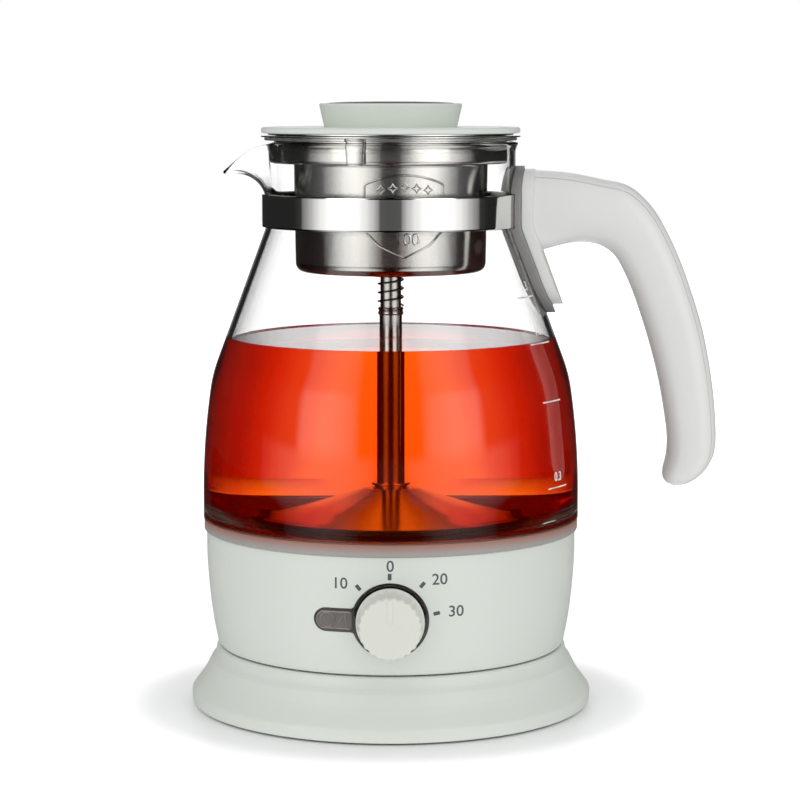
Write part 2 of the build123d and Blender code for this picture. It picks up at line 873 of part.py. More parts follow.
def spout_sky():
    """Everything above the sloping edge of the beak."""
    edge = [(0.0, rim_z)]
    edge += [(-(neck_r + out), rim_z - drop) for out, _, _, drop in spout_stations[1:-1]]
    edge.append((-(neck_r + spout_end[0]), rim_z - spout_end[1]))
    high = rim_z + neck_r
    outline = Polyline(*edge, (edge[-1][0], high), (edge[0][0], high), close=True)
    return extrude(Plane.XZ * make_face(outline), neck_r, both=True)


def make_glass_jug():
    outside = vessel(0, seal_top_z, rim_z)
    outside += turned(
        (neck_r - glass_wall - 1, rim_z - rim_flare_h),
        (neck_r, rim_z - rim_flare_h),
        (rim_r, rim_z - rim_edge_r),
        (rim_r, rim_z),
        (neck_r - glass_wall - 1, rim_z),
    )
    outside += spout_form(0)
    inside = vessel(-glass_wall, seal_top_z - overrun, rim_z + overrun) + spout_form(spout_wall)
    return (outside & rod(glass_r, seal_top_z, rim_z)) - inside - spout_sky()


# ---- Clamp band and handle -------------------------------------------------------------


def saddle(width, low, high):
    """A bar along +X with the rounded outline of the pads under the handle."""
    outline = Pos(0, (low + high) / 2) * RectangleRounded(width, high - low, saddle_corner_r)
    return extrude(Plane.YZ.offset(neck_r / 2) * outline, neck_r)


def band_slot(gap):
    """The slot that the band's two ends pass through, wider by gap all round."""
    half = tang_y + band_t / 2 + gap
    return block(neck_r - overrun, tang_x + gap, -half, half, band_low_z - gap, band_top_z + gap)


def make_clamp_band():
    band = ring(band_r + band_t, band_r, band_low_z, band_top_z)
    inner_y = tang_y - band_t / 2
    band -= block(0, neck_r * 2, -inner_y, inner_y, band_low_z - overrun, band_top_z + overrun)
    for side in (-1, 1):
        start_x = sqrt(band_r**2 - (tang_y - band_t / 2) ** 2)
        y_low = side * tang_y - band_t / 2
        band += block(start_x, tang_x, y_low, y_low + band_t, band_low_z, band_top_z)
    return band - rod_y(band_screw_r + fit_gap, -tang_y * 2, tang_y * 2, band_screw_x, band_z)


def make_band_screw():
    bearing = tang_y + band_t / 2 + run_gap
    head = rod_y(band_screw_head_r, -bearing - band_screw_head_h, -bearing, band_screw_x, band_z)
    return head + rod_y(band_screw_r, -bearing, bearing + band_screw_head_h, band_screw_x, band_z)


def make_band_nut():
    bearing = tang_y + band_t / 2 + run_gap
    plane = Plane.XZ.offset(-bearing) * Pos(band_screw_x, band_z)
    nut = extrude(plane * RegularPolygon(band_screw_head_r, 6), -band_screw_head_h)
    return nut - rod_y(band_screw_r, -bearing, bearing * 3, band_screw_x, band_z)


def make_handle_gasket():
    """The grey silicone pad between the glass and the handle's bracket."""
    low, high = gasket_low_z, gasket_top_z
    pad = vessel(gasket_out, low, high) - vessel(gasket_gap, low - overrun, high + overrun)
    pad = pad & saddle(gasket_w, low, high)
    pad -= ring(band_r + band_t + fit_gap, neck_r - overrun, band_low_z - fit_gap, band_top_z + fit_gap)
    return pad - band_slot(fit_gap)


def handle_screw_places():
    return [handle_screw_high_z, handle_screw_low_z]


def handle_screw_seat_x(z):
    """Where the head of a handle screw bears, inside the bracket."""
    return vessel_r(z) + bracket_in + handle_screw_head_h + handle_screw_seat_t


def make_handle_bracket():
    """The white saddle that the handle is screwed to."""
    low, high = bracket_low_z, bracket_top_z
    body = vessel(bracket_out, low, high) - vessel(bracket_in, low - overrun, high + overrun)
    body = body & saddle(bracket_w, low, high)
    body -= band_slot(fit_gap)
    for z in handle_screw_places():
        seat = handle_screw_seat_x(z)
        body -= rod_x(handle_screw_r + fit_gap, seat - overrun, seat + overrun * 2, 0, z)
        body -= rod_x(handle_screw_head_r + fit_gap, neck_r - overrun, seat, 0, z)
    return body


def handle_screw(z):
    seat = handle_screw_seat_x(z)
    head = rod_x(handle_screw_head_r, seat - handle_screw_head_h, seat, 0, z)
    return head + rod_x(handle_screw_r, seat, seat + handle_screw_length, 0, z)


def handle_outline():
    """The handle seen from the front."""
    corners = [(neck_r + out, handle_top_z - down) for out, down, _ in handle_corners]
    radii = [radius for _, _, radius in handle_corners]
    return make_face(FilletPolyline(*corners, radius=radii, close=True))


def handle_form():
    """The whole handle, grip and spine together, up to the bracket."""
    form = extrude(Plane.XZ * handle_outline(), handle_w / 2, both=True)
    long_edges = [
        edge
        for edge in form.edges()
        if abs(abs(edge.center().Y) - handle_w / 2) < 0.01 and edge.center().X > neck_r + 1
    ]
    form = fillet(long_edges, handle_edge_r)
    return form - vessel(bracket_out + fit_gap, bracket_low_z - overrun, rim_z)


def handle_core(step):
    """The handle's outline moved in from its back by step, as a wide bar."""
    moved = Pos(-step, -step) * handle_outline() + handle_root()
    return extrude(Plane.XZ * moved, handle_w, both=True)


def handle_root():
    """The stretch of the handle next to the bracket, seen from the front."""
    reach = tang_x + root_pocket_gap + handle_wall - neck_r
    middle = Pos(neck_r + reach / 2, (handle_root_z + handle_top_z) / 2)
    return middle * Rectangle(reach, handle_top_z - handle_root_z)


def make_handle_grip():
    """The grip, with a hollow under the spine and a pocket for the band's ends."""
    grip = handle_form() & handle_core(spine_t)
    hollow = offset(handle_outline(), -handle_wall)
    hollow += Pos(spine_t * 2, spine_t * 2) * hollow
    hollow -= Pos(0, band_z) * Rectangle(handle_hollow_x * 2, band_z * 2)
    grip -= extrude(Plane.XZ * hollow, handle_hollow_w / 2, both=True)
    pocket_half = root_pocket_w / 2
    low = band_low_z - root_pocket_gap
    high = band_top_z + root_pocket_gap
    grip -= block(neck_r, tang_x + root_pocket_gap, -pocket_half, pocket_half, low, high)
    for z in handle_screw_places():
        seat = handle_screw_seat_x(z)
        grip -= rod_x(handle_screw_r, seat, seat + handle_screw_length + screw_tip_gap, 0, z)
    return grip


def make_handle_spine():
    """The cover strip along the top and back of the handle."""
    return handle_form() - handle_core(spine_t - fit_gap)


# ---- Leaf basket -----------------------------------------------------------------------


def make_infuser_basket():
    flange_top = basket_flange_z + basket_t
    basket = turned(
        (bush_r + fit_gap, cup_floor_z),
        (cup_low_r, cup_floor_z, cup_edge_r),
        (cup_top_r, step_z),
        (collar_r, step_z, 1.0),
        (collar_r, basket_flange_z),
        (flange_r, basket_flange_z),
        (flange_r, flange_top),
        (collar_r - basket_t, flange_top, 0.3),
        (collar_r - basket_t, step_z + basket_t, 0.5),
        (cup_top_r - basket_t, step_z + basket_t),
        (cup_low_r - basket_t, cup_floor_top_z, cup_edge_r - basket_t),
        (bush_r + fit_gap, cup_floor_top_z),
    )
    cutters = hole_rings(
        drain_hole_r,
        drain_rings,
        drain_first_r,
        drain_ring_step,
        drain_hole_pitch,
        cup_floor_z - overrun,
        cup_floor_top_z + overrun,
    )
    return basket - cutters


def make_basket_seal():
    """A clear silicone ring under the basket's flange, which sits on the glass."""
    return ring(rim_r - 0.4, collar_r + fit_gap, rim_z + lift_gap, basket_flange_z)


def make_guide_bush():
    """A flanged bush through the floor of the basket, which guides the tube."""
    bush = rod(bush_r, bush_low_z, cup_floor_top_z + bush_flange_t)
    bush += rod(bush_flange_r, cup_floor_top_z, cup_floor_top_z + bush_flange_t)
    return bush - rod(tube_r + run_gap, bush_low_z - overrun, cup_floor_top_z + overrun * 2)


def make_bush_nut():
    """The thin round nut that holds the bush from below."""
    return ring(bush_r + 1.6, bush_r, bush_low_z, cup_floor_z)


def make_sieve_plate():
    """The perforated cover over the leaves, which rests on the basket's step."""
    dish_z = sieve_z - sieve_dish_h
    plate = turned(
        (sieve_bore_r, dish_z),
        (sieve_dish_r, dish_z, 1.0),
        (sieve_dish_r, sieve_z, 0.4),
        (sieve_r, sieve_z),
        (sieve_r, sieve_z + sieve_t),
        (sieve_dish_r - sieve_t, sieve_z + sieve_t, 0.8),
        (sieve_dish_r - sieve_t, dish_z + sieve_t, 0.5),
        (sieve_bore_r, dish_z + sieve_t),
    )
    step = (sieve_dish_r - sieve_first_r - sieve_margin) / (sieve_rings - 1)
    cutters = hole_rings(
        sieve_hole_r, sieve_rings, sieve_first_r, step, drain_hole_pitch, dish_z - overrun, dish_z + overrun
    )
    return plate - cutters


# ---- Riser -----------------------------------------------------------------------------


def make_riser_tube():
    return ring(tube_r, tube_bore_r, tube_low_z, tube_top_z)


def make_spring_stop():
    """A double bead pressed on the tube, with a sleeve below it."""
    half = stop_h / 2
    return turned(
        (tube_r, stop_z - stop_sleeve_h),
        (stop_sleeve_r, stop_z - stop_sleeve_h),
        (stop_sleeve_r, stop_z),
        (stop_r, stop_z, half * 0.3),
        (stop_r, stop_z + half * 0.85, half * 0.3),
        (stop_sleeve_r, stop_z + half),
        (stop_r, stop_z + half * 1.15, half * 0.3),
        (stop_r, stop_top_z, half * 0.3),
        (tube_r, stop_top_z),
    )


def make_riser_spring():
    """The coil spring between the stop and the underside of the basket."""
    low = stop_top_z + spring_end_gap + spring_wire_r
    high = bush_low_z - spring_end_gap - spring_wire_r
    path = Helix(pitch=(high - low) / spring_turns, height=high - low, radius=spring_r, center=(0, 0, low))
    return sweep(Plane(path @ 0, z_dir=path % 0) * Circle(spring_wire_r), path=path, is_frenet=True)


def make_siphon_cone():
    """A shallow steel cone with a collar at the tube."""
    return turned(
        (tube_r, cone_apex_z + cone_collar_h),
        (tube_r, cone_apex_z - cone_t),
        (cone_apex_r, cone_apex_z - cone_t),
        (cone_r, cone_rim_z - cone_t),
        (cone_r, cone_rim_z),
        (cone_apex_r + 2, cone_apex_z - 0.4, 4),
        (tube_r + 0.6, cone_apex_z),
        (tube_r + 0.6, cone_apex_z + cone_collar_h / 2),
        (cone_apex_r, cone_apex_z + cone_collar_h / 2),
        (cone_apex_r, cone_apex_z + cone_collar_h),
    )


def make_cone_seal():
    """The dark silicone ring round the foot of the cone, with its inlet holes."""
    inner = cone_seal_r - cone_seal_w
    top = cone_rim_z - cone_t
    seal = turned(
        (inner, cone_foot_z),
        (cone_seal_r, cone_foot_z),
        (cone_seal_r, cone_rim_z, 0.8),
        (cone_r + fit_gap, cone_rim_z),
        (cone_r + fit_gap, top),
        (inner, top),
    )
    inlet = rod_x(cone_inlet_r, inner - overrun, cone_seal_r + overrun, 0, (cone_foot_z + top) / 2)
    return seal - around(inlet, cone_inlets, cone_inlet_deg)


def make_spray_cap():
    """The cap on top of the tube, with a ring of jets."""
    low = cap_top_z - cap_h
    cap = turned((0, low), (cap_r, low, cap_low_edge_r), (cap_r, cap_top_z, cap_edge_r), (0, cap_top_z))
    cap -= rod(tube_r, low - overrun, tube_top_z)
    cap -= rod(tube_bore_r, tube_top_z - overrun, tube_top_z + cap_chamber_h)
    jet = rod_x(cap_jet_r, 0, cap_r + overrun, 0, tube_top_z + cap_chamber_h / 2)
    return cap - around(jet, cap_jets)


# ---- Lid -------------------------------------------------------------------------------


def make_lid_disc():
    disc = turned((0, lid_z), (lid_r, lid_z, lid_edge_r), (lid_r, grip_z, lid_edge_r), (0, grip_z))
    return disc - rod(lid_screw_r + fit_gap, lid_z - overrun, grip_z + overrun)


def make_lid_liner():
    liner = ring(liner_r, lid_screw_r + fit_gap, liner_z, lid_z)
    return liner + ring(liner_skirt_r, liner_skirt_r - liner_t, liner_z - liner_skirt_h, liner_z)


def make_lid_seal():
    outer = collar_r - basket_t - lid_seal_gap
    low = liner_z - liner_skirt_h + 0.5
    return ring(outer, liner_skirt_r, low, low + lid_seal_h)


def make_lid_grip():
    """The round grip on the lid, hollow below, with a recess for its cap."""
    low_edge = (grip_low_r, grip_z, 0.4)
    top_edge = (grip_top_r, grip_top_z, grip_edge_r)
    grip = turned((0, grip_z), low_edge, top_edge, (0, grip_top_z))
    cap_floor = grip_top_z - cap_disc_t
    grip -= rod(cap_disc_r + fit_gap, cap_floor, grip_top_z + overrun)
    hollow = ring(grip_low_r - grip_wall, grip_boss_r, grip_z - overrun, cap_floor - grip_wall)
    return grip - hollow - rod(lid_screw_r, grip_z - overrun, cap_floor - grip_wall)


def make_grip_cap():
    """The black cap, slightly domed."""
    low = grip_top_z - cap_disc_t
    top = grip_top_z + cap_dome
    dome = [
        Line((0, low), (cap_disc_r, low)),
        Line((cap_disc_r, low), (cap_disc_r, grip_top_z)),
        TangentArc((0, top), (cap_disc_r, grip_top_z), tangent=(1, 0)),
        Line((0, top), (0, low)),
    ]
    return revolve(Plane.XZ * make_face(dome), Axis.Z)


def make_lid_screw():
    head = rod(lid_screw_head_r, liner_z - lid_screw_head_h, liner_z)
    return head + rod(lid_screw_r, liner_z, grip_top_z - cap_disc_t - grip_wall - 0.5)


# ---- Assembly --------------------------------------------------------------------------

write("base_shell", make_base_shell())
write("base_plate", make_base_plate())
write("foot_ring", make_foot_ring())
write("base_screws", *[base_screw(x, y) for x, y in base_screw_places()])
write("base_connector", make_base_connector())
write("base_contacts", *make_base_contacts())
write("cord_gland", make_cord_gland())
write("base_leads", *make_base_leads())

write("heater_housing", make_heater_housing())
write("housing_cover", make_housing_cover())
write("housing_screws", *[housing_screw(x, y) for x, y in housing_screw_places()])
write("jug_connector", make_jug_connector())
write("jug_contacts", *make_jug_contacts())
write("seal_ring", make_seal_ring())
write("heating_plate", make_heating_plate())
write("heat_spreader", make_heat_spreader())
write("heating_element", make_heating_element())
write("thermostat", make_thermostat())
write("thermal_fuse", make_thermal_fuse())
write("temperature_probe", make_temperature_probe())
write("element_leads", *make_element_leads())
write("dial_lens", make_dial_lens())
write("control_board", make_control_board())
write("board_screws", *[board_screw(x, z) for x, z in board_boss_places()])
write("rotary_switch", make_rotary_switch())
write("indicator_led", make_indicator_led())
write("glass_jug", make_glass_jug())
write("clamp_band", make_clamp_band())
write("band_screw", make_band_screw())
write("band_nut", make_band_nut())
write("handle_gasket", make_handle_gasket())
write("handle_bracket", make_handle_bracket())
write("handle_screws", *[handle_screw(z) for z in handle_screw_places()])
write("handle_grip", make_handle_grip())
write("handle_spine", make_handle_spine())

write("selector_knob", make_selector_knob())
write("switch_shaft", make_switch_shaft())

write("infuser_basket", make_infuser_basket())
write("basket_seal", make_basket_seal())
write("guide_bush", make_guide_bush())
write("bush_nut", make_bush_nut())
write("sieve_plate", make_sieve_plate())

write("riser_tube", make_riser_tube())
write("spring_stop", make_spring_stop())
write("riser_spring", make_riser_spring())
write("siphon_cone", make_siphon_cone())
write("cone_seal", make_cone_seal())
write("spray_cap", make_spray_cap())

write("lid_disc", make_lid_disc())
write("lid_liner", make_lid_liner())
write("lid_seal", make_lid_seal())
write("lid_grip", make_lid_grip())
write("grip_cap", make_grip_cap())
write("lid_screw", make_lid_screw())
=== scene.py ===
import math

import bmesh
import bpy
import numpy as np
from mathutils import Matrix, Vector


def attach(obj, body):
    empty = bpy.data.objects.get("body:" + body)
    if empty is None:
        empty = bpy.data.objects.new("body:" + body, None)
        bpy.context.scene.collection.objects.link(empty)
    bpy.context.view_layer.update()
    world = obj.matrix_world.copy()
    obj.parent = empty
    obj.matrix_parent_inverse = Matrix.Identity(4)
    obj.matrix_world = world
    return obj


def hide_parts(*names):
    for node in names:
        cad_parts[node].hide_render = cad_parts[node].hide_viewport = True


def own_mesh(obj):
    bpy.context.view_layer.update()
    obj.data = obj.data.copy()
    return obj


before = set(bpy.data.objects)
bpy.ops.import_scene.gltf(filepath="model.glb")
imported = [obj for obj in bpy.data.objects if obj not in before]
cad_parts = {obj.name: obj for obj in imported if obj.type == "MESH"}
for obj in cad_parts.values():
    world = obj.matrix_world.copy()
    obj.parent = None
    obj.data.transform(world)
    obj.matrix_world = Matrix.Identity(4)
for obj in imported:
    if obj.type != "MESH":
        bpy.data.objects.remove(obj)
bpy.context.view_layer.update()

scene = bpy.context.scene
scene.view_settings.view_transform = "Standard"

# Lengths are written in millimetres and turned into metres where a mesh is made.
# The frame is the solids' own: +Z up the jug's axis, the dial at -Y, the handle at +X.
MM = 0.001


# ---- Camera ----------------------------------------------------------------
# A long lens about a metre in front of the dial, a little above the lid and
# looking slightly down. No shift and no depth of field.


def added(name, data):
    """A new object for some data, in the scene."""
    made = bpy.data.objects.new(name, data)
    scene.collection.objects.link(made)
    return made


lens = bpy.data.cameras.new("camera")
lens.sensor_width = 36.0
lens.lens = 117.0
camera = added("camera", lens)
camera.location = (0.00355, -0.998, 0.2329)
camera.rotation_euler = (math.radians(90.0 - 6.6), 0.0, 0.0)
scene.camera = camera


# ---- Studio ----------------------------------------------------------------
# A white table and sweep lit by two tall soft boxes in front, with black cards at
# the sides, which is what the steel and the glass show.


def fill(tree, node, inputs):
    """Gives a node's inputs their values or links."""
    for key, value in inputs.items():
        if isinstance(value, bpy.types.NodeSocket):
            tree.links.new(value, node.inputs[key])
        else:
            node.inputs[key].default_value = value


def add_node(tree, kind, inputs=None, **settings):
    """Adds a node, sets its options and fills its inputs."""
    made = tree.nodes.new(kind)
    for key, value in settings.items():
        setattr(made, key, value)
    fill(tree, made, inputs or {})
    return made


def calc(tree, operation, *values, **settings):
    """The result of one step of arithmetic."""
    return add_node(tree, "ShaderNodeMath", dict(enumerate(values)), operation=operation, **settings).outputs[0]


def vector(tree, **axes):
    """A vector from the sockets of its axes."""
    return add_node(tree, "ShaderNodeCombineXYZ", axes).outputs[0]


def axes_of(tree, place):
    return add_node(tree, "ShaderNodeSeparateXYZ", {0: place}).outputs


def length(tree, place):
    return add_node(tree, "ShaderNodeVectorMath", {0: place}, operation="LENGTH").outputs["Value"]


def choose(tree, factor, first, second, blend="MIX"):
    """First where factor is 0, second where it is 1."""
    sides = {0: factor, 6: first, 7: second}
    return add_node(tree, "ShaderNodeMix", sides, data_type="RGBA", blend_type=blend).outputs[2]


def product(tree, first, second):
    return choose(tree, 1.0, first, second, "MULTIPLY")


def colour_ramp(tree, factor, stops, interpolation="LINEAR"):
    """Colours over a factor of 0 to 1, from (place, red, green, blue)."""
    made = add_node(tree, "ShaderNodeValToRGB", {"Fac": factor})
    bands = made.color_ramp
    bands.interpolation = interpolation
    while len(bands.elements) < len(stops):
        bands.elements.new(0.5)
    for element, (place, *colour) in zip(bands.elements, stops):
        element.position = place
        element.color = (*colour, 1.0)
    return made.outputs["Color"]


def ramp(tree, factor, stops):
    """A smooth curve of grey levels over a factor of 0 to 1, for levels up to 4."""
    levels = colour_ramp(tree, factor, [(place, level / 4, level / 4, level / 4) for place, level in stops], "EASE")
    return product(tree, levels, (4.0, 4.0, 4.0, 1.0))


def new_shader(name):
    """A material with its tree, its main shader and the piece's own coordinates."""
    material = bpy.data.materials.new(name)
    material.use_nodes = True
    tree = material.node_tree
    coords = add_node(tree, "ShaderNodeTexCoord").outputs["Object"]
    return material, tree, tree.nodes["Principled BSDF"], coords


def noise(tree, coords, scale, detail=3.0):
    return add_node(tree, "ShaderNodeTexNoise", {"Vector": coords, "Scale": scale, "Detail": detail}).outputs["Fac"]


WHITE, BLACK = (1.0, 1.0, 1.0, 1.0), (0.0, 0.0, 0.0, 1.0)
room = bpy.data.worlds.new("room")
scene.world = room
room.use_nodes = True
tree = room.node_tree
tree.nodes.clear()
x, y, z = axes_of(tree, add_node(tree, "ShaderNodeTexCoord").outputs["Generated"])
turn = calc(tree, "ARCTAN2", x, calc(tree, "MULTIPLY", y, -1.0))
turn = calc(tree, "DIVIDE", calc(tree, "ABSOLUTE", turn), math.pi)
height = calc(tree, "MULTIPLY_ADD", z, 0.5, 0.5)


def round_the_room(*degrees_and_levels):
    """Light by direction, from the front, 0 degrees, to the back, 180."""
    return ramp(tree, turn, [(degrees / 180, level) for degrees, level in degrees_and_levels])


# What metal mirrors: a dark gap, a soft box, black, the sweep at the back.
mirrored = round_the_room(
    (0, 0.10), (9, 0.11), (11, 0.40), (16, 0.72), (22, 1.05), (31, 1.35), (42, 1.5), (54, 1.35), (64, 1.1),
    (69, 0.85), (75, 0.55), (80, 0.36), (84, 0.24), (86, 0.04), (97, 0.02), (163, 0.02), (171, 0.6), (177, 1.3),
)
through = round_the_room((0, 1.35), (60, 1.2), (90, 1.15), (120, 1.2), (150, 1.35), (180, 1.40))
scattered = round_the_room((0, 1.01), (45, 1.01), (75, 0.82), (100, 0.56), (140, 0.58), (165, 0.86))
# In front the boxes narrow and end a little under the horizon, and the ceiling is dimmer.
behind = ramp(tree, turn, [(0.70, 0.0), (0.80, 1.0)])
narrower = ramp(tree, height, [(0.27, 0.2), (0.33, 0.5), (0.40, 1.0), (0.43, 0.8), (0.447, 0.3), (0.46, 0.0)])
mirrored = choose(tree, 1.0, mirrored, choose(tree, behind, narrower, BLACK), "SUBTRACT")
mirrored = add_node(tree, "ShaderNodeVectorMath", {0: mirrored, 1: (0.0, 0.0, 0.0)}, operation="MAXIMUM").outputs[0]
reach = [(0.49, 1.0), (0.53, 1.75), (0.63, 1.75), (0.70, 1.0), (0.83, 1.0), (0.90, 0.5), (1.0, 0.6)]
reach = choose(tree, behind, ramp(tree, height, reach), WHITE)
# Over the horizon the light comes from nearer the middle.
above = ramp(tree, height, [(0.495, 0.0), (0.52, 1.0)])
wide = round_the_room((17, 0.0), (25, 0.8), (38, 1.0), (55, 0.95), (62, 0.1), (90, 0.1), (100, 1.0))
reach = product(tree, reach, choose(tree, above, WHITE, wide))
lift = ramp(tree, height, [(0.40, 1.4), (0.5, 1.1), (0.7, 0.97), (1.0, 0.95)])
path = add_node(tree, "ShaderNodeLightPath").outputs
seen = choose(tree, path["Glossy Depth"], through, product(tree, mirrored, reach))
seen = choose(tree, path["Diffuse Depth"], seen, product(tree, scattered, lift))
seen = choose(tree, path["Is Camera Ray"], seen, WHITE)
room.cycles.sampling_method = "NONE"
glow = add_node(tree, "ShaderNodeBackground", {"Color": seen, "Strength": 1.0})
add_node(tree, "ShaderNodeOutputWorld", {"Surface": glow.outputs[0]})

table, tree, shader, coords = new_shader("white table")
white = choose(tree, noise(tree, coords, 6.0, 2.0), (0.90, 0.90, 0.91, 1.0), (0.93, 0.93, 0.94, 1.0))
# Painted light: it glows more with distance from the object, so that it goes white there and keeps the soft shadow near
# the object.
painted_floor_glow = ramp(tree, length(tree, coords), [(0.074, 0.0), (0.088, 0.12), (0.108, 0.40), (0.3, 0.48), (0.7, 0.9)])
path = add_node(tree, "ShaderNodeLightPath").outputs
painted_floor_glow = choose(tree, path["Is Camera Ray"], (0.28, 0.28, 0.28, 1.0), painted_floor_glow)
fill(tree, shader, {"Base Color": white, "Roughness": 0.42, "Specular IOR Level": 0.35})
fill(tree, shader, {"Emission Color": painted_floor_glow, "Emission Strength": 1.0})
# Metal and glass look past it, at the sweep.
past = calc(tree, "ADD", path["Glossy Depth"], path["Transmission Depth"])
past = calc(tree, "SUBTRACT", past, path["Diffuse Depth"], use_clamp=True)
clear = add_node(tree, "ShaderNodeBsdfTransparent")
both = add_node(tree, "ShaderNodeMixShader", {0: past, 1: shader.outputs[0], 2: clear.outputs[0]})
fill(tree, tree.nodes["Material Output"], {"Surface": both.outputs[0]})
floor_mesh = bpy.data.meshes.new("floor")
floor_mesh.from_pydata([(-4, -4, 0), (4, -4, 0), (4, 4, 0), (-4, 4, 0)], [], [(0, 1, 2, 3)])
floor_mesh.materials.append(table)
floor = added("floor", floor_mesh)


# ---- Power base ------------------------------------------------------------
# The round foot of the tea maker, moulded in pale sage ABS with a satin surface. A
# hollow flank runs from the upright lip at the table up to a soft shoulder.


def srgb(red, green, blue):
    """A colour on the usual 0 to 255 scale, as the shaders take it."""
    levels = [channel / 255 for channel in (red, green, blue)]
    return tuple(v / 12.92 if v <= 0.04045 else ((v + 0.055) / 1.055) ** 2.4 for v in levels) + (1.0,)


def toned(tree, factor, colour, low, high):
    """A colour made darker or lighter, by shares of it, as a noise goes."""
    shades = [tuple(min(1.0, channel * share) for channel in colour[:3]) + (1.0,) for share in (low, high)]
    return choose(tree, factor, *shades)


def spread(tree, factor, low, high):
    """Maps the middle of a noise to a range."""
    ends = {"Value": factor, "From Min": 0.3, "From Max": 0.7, "To Min": low, "To Max": high}
    return add_node(tree, "ShaderNodeMapRange", ends).outputs["Result"]


def relief(tree, height, strength, distance):
    made = add_node(tree, "ShaderNodeBump", {"Height": height, "Strength": strength, "Distance": distance})
    return made.outputs["Normal"]


def uneven(name, colour, tone, sheen, skin, more):
    """A finish whose tone, sheen and relief each follow a noise: its scale and detail, and two ends."""
    material, tree, shader, coords = new_shader(name)
    clouds, gloss, bumps = (noise(tree, coords, *part[:2]) for part in (tone, sheen, skin))
    look = {
        "Base Color": toned(tree, clouds, colour, *tone[2:]),
        "Roughness": spread(tree, gloss, *sheen[2:]),
        "Normal": relief(tree, bumps, *skin[2:]),
    }
    fill(tree, shader, {**look, **more})
    return material


def moulded_plastic(name, colour, rough=0.40, grain=0.10, cloudiness=0.02, specular=0.5):
    """Moulded plastic: faintly cloudy, with a fine spark-eroded grain and uneven sheen."""
    tone, sheen = (22.0, 3.0, 1 - cloudiness, 1 + cloudiness), (160.0, 5.0, rough - 0.05, rough + 0.06)
    return uneven(name, colour, tone, sheen, (2400.0, 2.0, grain, 0.00006), {"Specular IOR Level": specular})


def outline(points, steps=6, closed=False, hold=0.5):
    """Rounds the corners of (radius, height, corner radius) and adds a point near each end of a long run."""
    corners = []
    count = len(points)
    for i, point in enumerate(points):
        here = Vector(point[:2])
        radius = point[2] if len(point) > 2 else 0.0
        if radius <= 0 or (not closed and i in (0, count - 1)):
            corners.append([here])
            continue
        back = (Vector(points[i - 1][:2]) - here).normalized()
        on = (Vector(points[(i + 1) % count][:2]) - here).normalized()
        half = back.angle(on) / 2
        centre = here + (back + on).normalized() * radius / math.sin(half)
        first = here + back * radius / math.tan(half) - centre
        last = here + on * radius / math.tan(half) - centre
        sweep = first.angle(last)
        arc = []
        for k in range(steps + 1):
            a, b = math.sin((1 - k / steps) * sweep), math.sin(k / steps * sweep)
            arc.append(centre + (first * a + last * b) / math.sin(sweep))
        corners.append(arc)
    path = []
    for i, arc in enumerate(corners):
        path += arc
        if i == count - 1 and not closed:
            break
        start, end = arc[-1], corners[(i + 1) % count][0]
        run = (end - start).length
        if run > 5 * hold:
            path += [start + (end - start) * hold / run, end - (end - start) * hold / run]
    return [tuple(p) for p in path]


def smooth(piece, sharp=32.0):
    """Shades a piece smooth but for its sharp edges."""
    piece.data.polygons.foreach_set("use_smooth", [True] * len(piece.data.polygons))
    piece.data.set_sharp_from_angle(angle=math.radians(sharp))
    return piece


def piece_of(name, mesh, material, sharp=32.0):
    """An object for a mesh that is already in place."""
    mesh.materials.clear()
    mesh.materials.append(material)
    return smooth(added(name, mesh), sharp)


def piece_from(name, points, faces, material, sharp=32.0):
    """A finished mesh object from points in millimetres: closed, faces outwards."""
    mesh = bpy.data.meshes.new(name)
    mesh.from_pydata([tuple(c * MM for c in p) for p in points], [], faces)
    shape = bmesh.new()
    shape.from_mesh(mesh)
    bmesh.ops.remove_doubles(shape, verts=shape.verts, dist=1e-7)
    bmesh.ops.dissolve_degenerate(shape, edges=shape.edges, dist=1e-8)
    bmesh.ops.recalc_face_normals(shape, faces=shape.faces)
    shape.to_mesh(mesh)
    shape.free()
    return piece_of(name, mesh, material, sharp)


def quads(rows, closed=False, ring=True):
    """Faces between rows of point numbers. ring closes each row, closed joins the last to the first."""
    faces = []
    for low, high in zip(rows, rows[1:] + (rows[:1] if closed else [])):
        for k in range(len(low) if ring else len(low) - 1):
            n = (k + 1) % len(low)
            face = list(dict.fromkeys([low[k], low[n], high[n], high[k]]))
            if len(face) > 2:
                faces.append(face)
    return faces


def lathe(name, points, material, turns=160, closed=True, sharp=32.0):
    """A turned piece: an outline of (radius, height, corner radius) swept round +Z."""
    verts, rows = [], []
    for r, z in outline(points, closed=closed):
        start = len(verts)
        if r < 1e-6:
            verts.append((0.0, 0.0, z))
            rows.append([start] * turns)
        else:
            round_it = np.linspace(0, 2 * math.pi, turns, endpoint=False)
            verts += [(r * math.cos(a), r * math.sin(a), z) for a in round_it]
            rows.append(list(range(start, start + turns)))
    return piece_from(name, verts, quads(rows, closed), material, sharp)


def dress(piece, body, finish, *solids):
    """Fixes a piece to its body and hides the solids it stands for. finish is not used."""
    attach(piece, body)
    if solids:
        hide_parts(*solids)


def turned(name, side, material, body, finish, turns=160, closed=True):
    """A turned piece in place of the solid of the same name."""
    dress(lathe(name, side, material, turns, closed), body, finish, name)


sage = moulded_plastic("sage satin plastic", srgb(221, 227, 219))
base_side = [
    (75.1, 0.75, 0.5), (77.15, 0.75, 1.5), (77.5, 5.6, 2.6), (75.3, 8.5), (73.55, 10.8), (72.1, 13.1),
    (70.95, 15.4), (70.0, 17.4, 0.8), (68.75, 19.0, 1.2), (67.95, 20.4), (67.55, 23.2, 1.1),
    (16.7, 23.2, 0.3), (16.7, 20.8), (65.2, 20.8), (70.0, 13.0), (74.9, 5.4),
]
dress(lathe("power_base", base_side, sage, 224), "base", "sage_plastic", "base_shell")


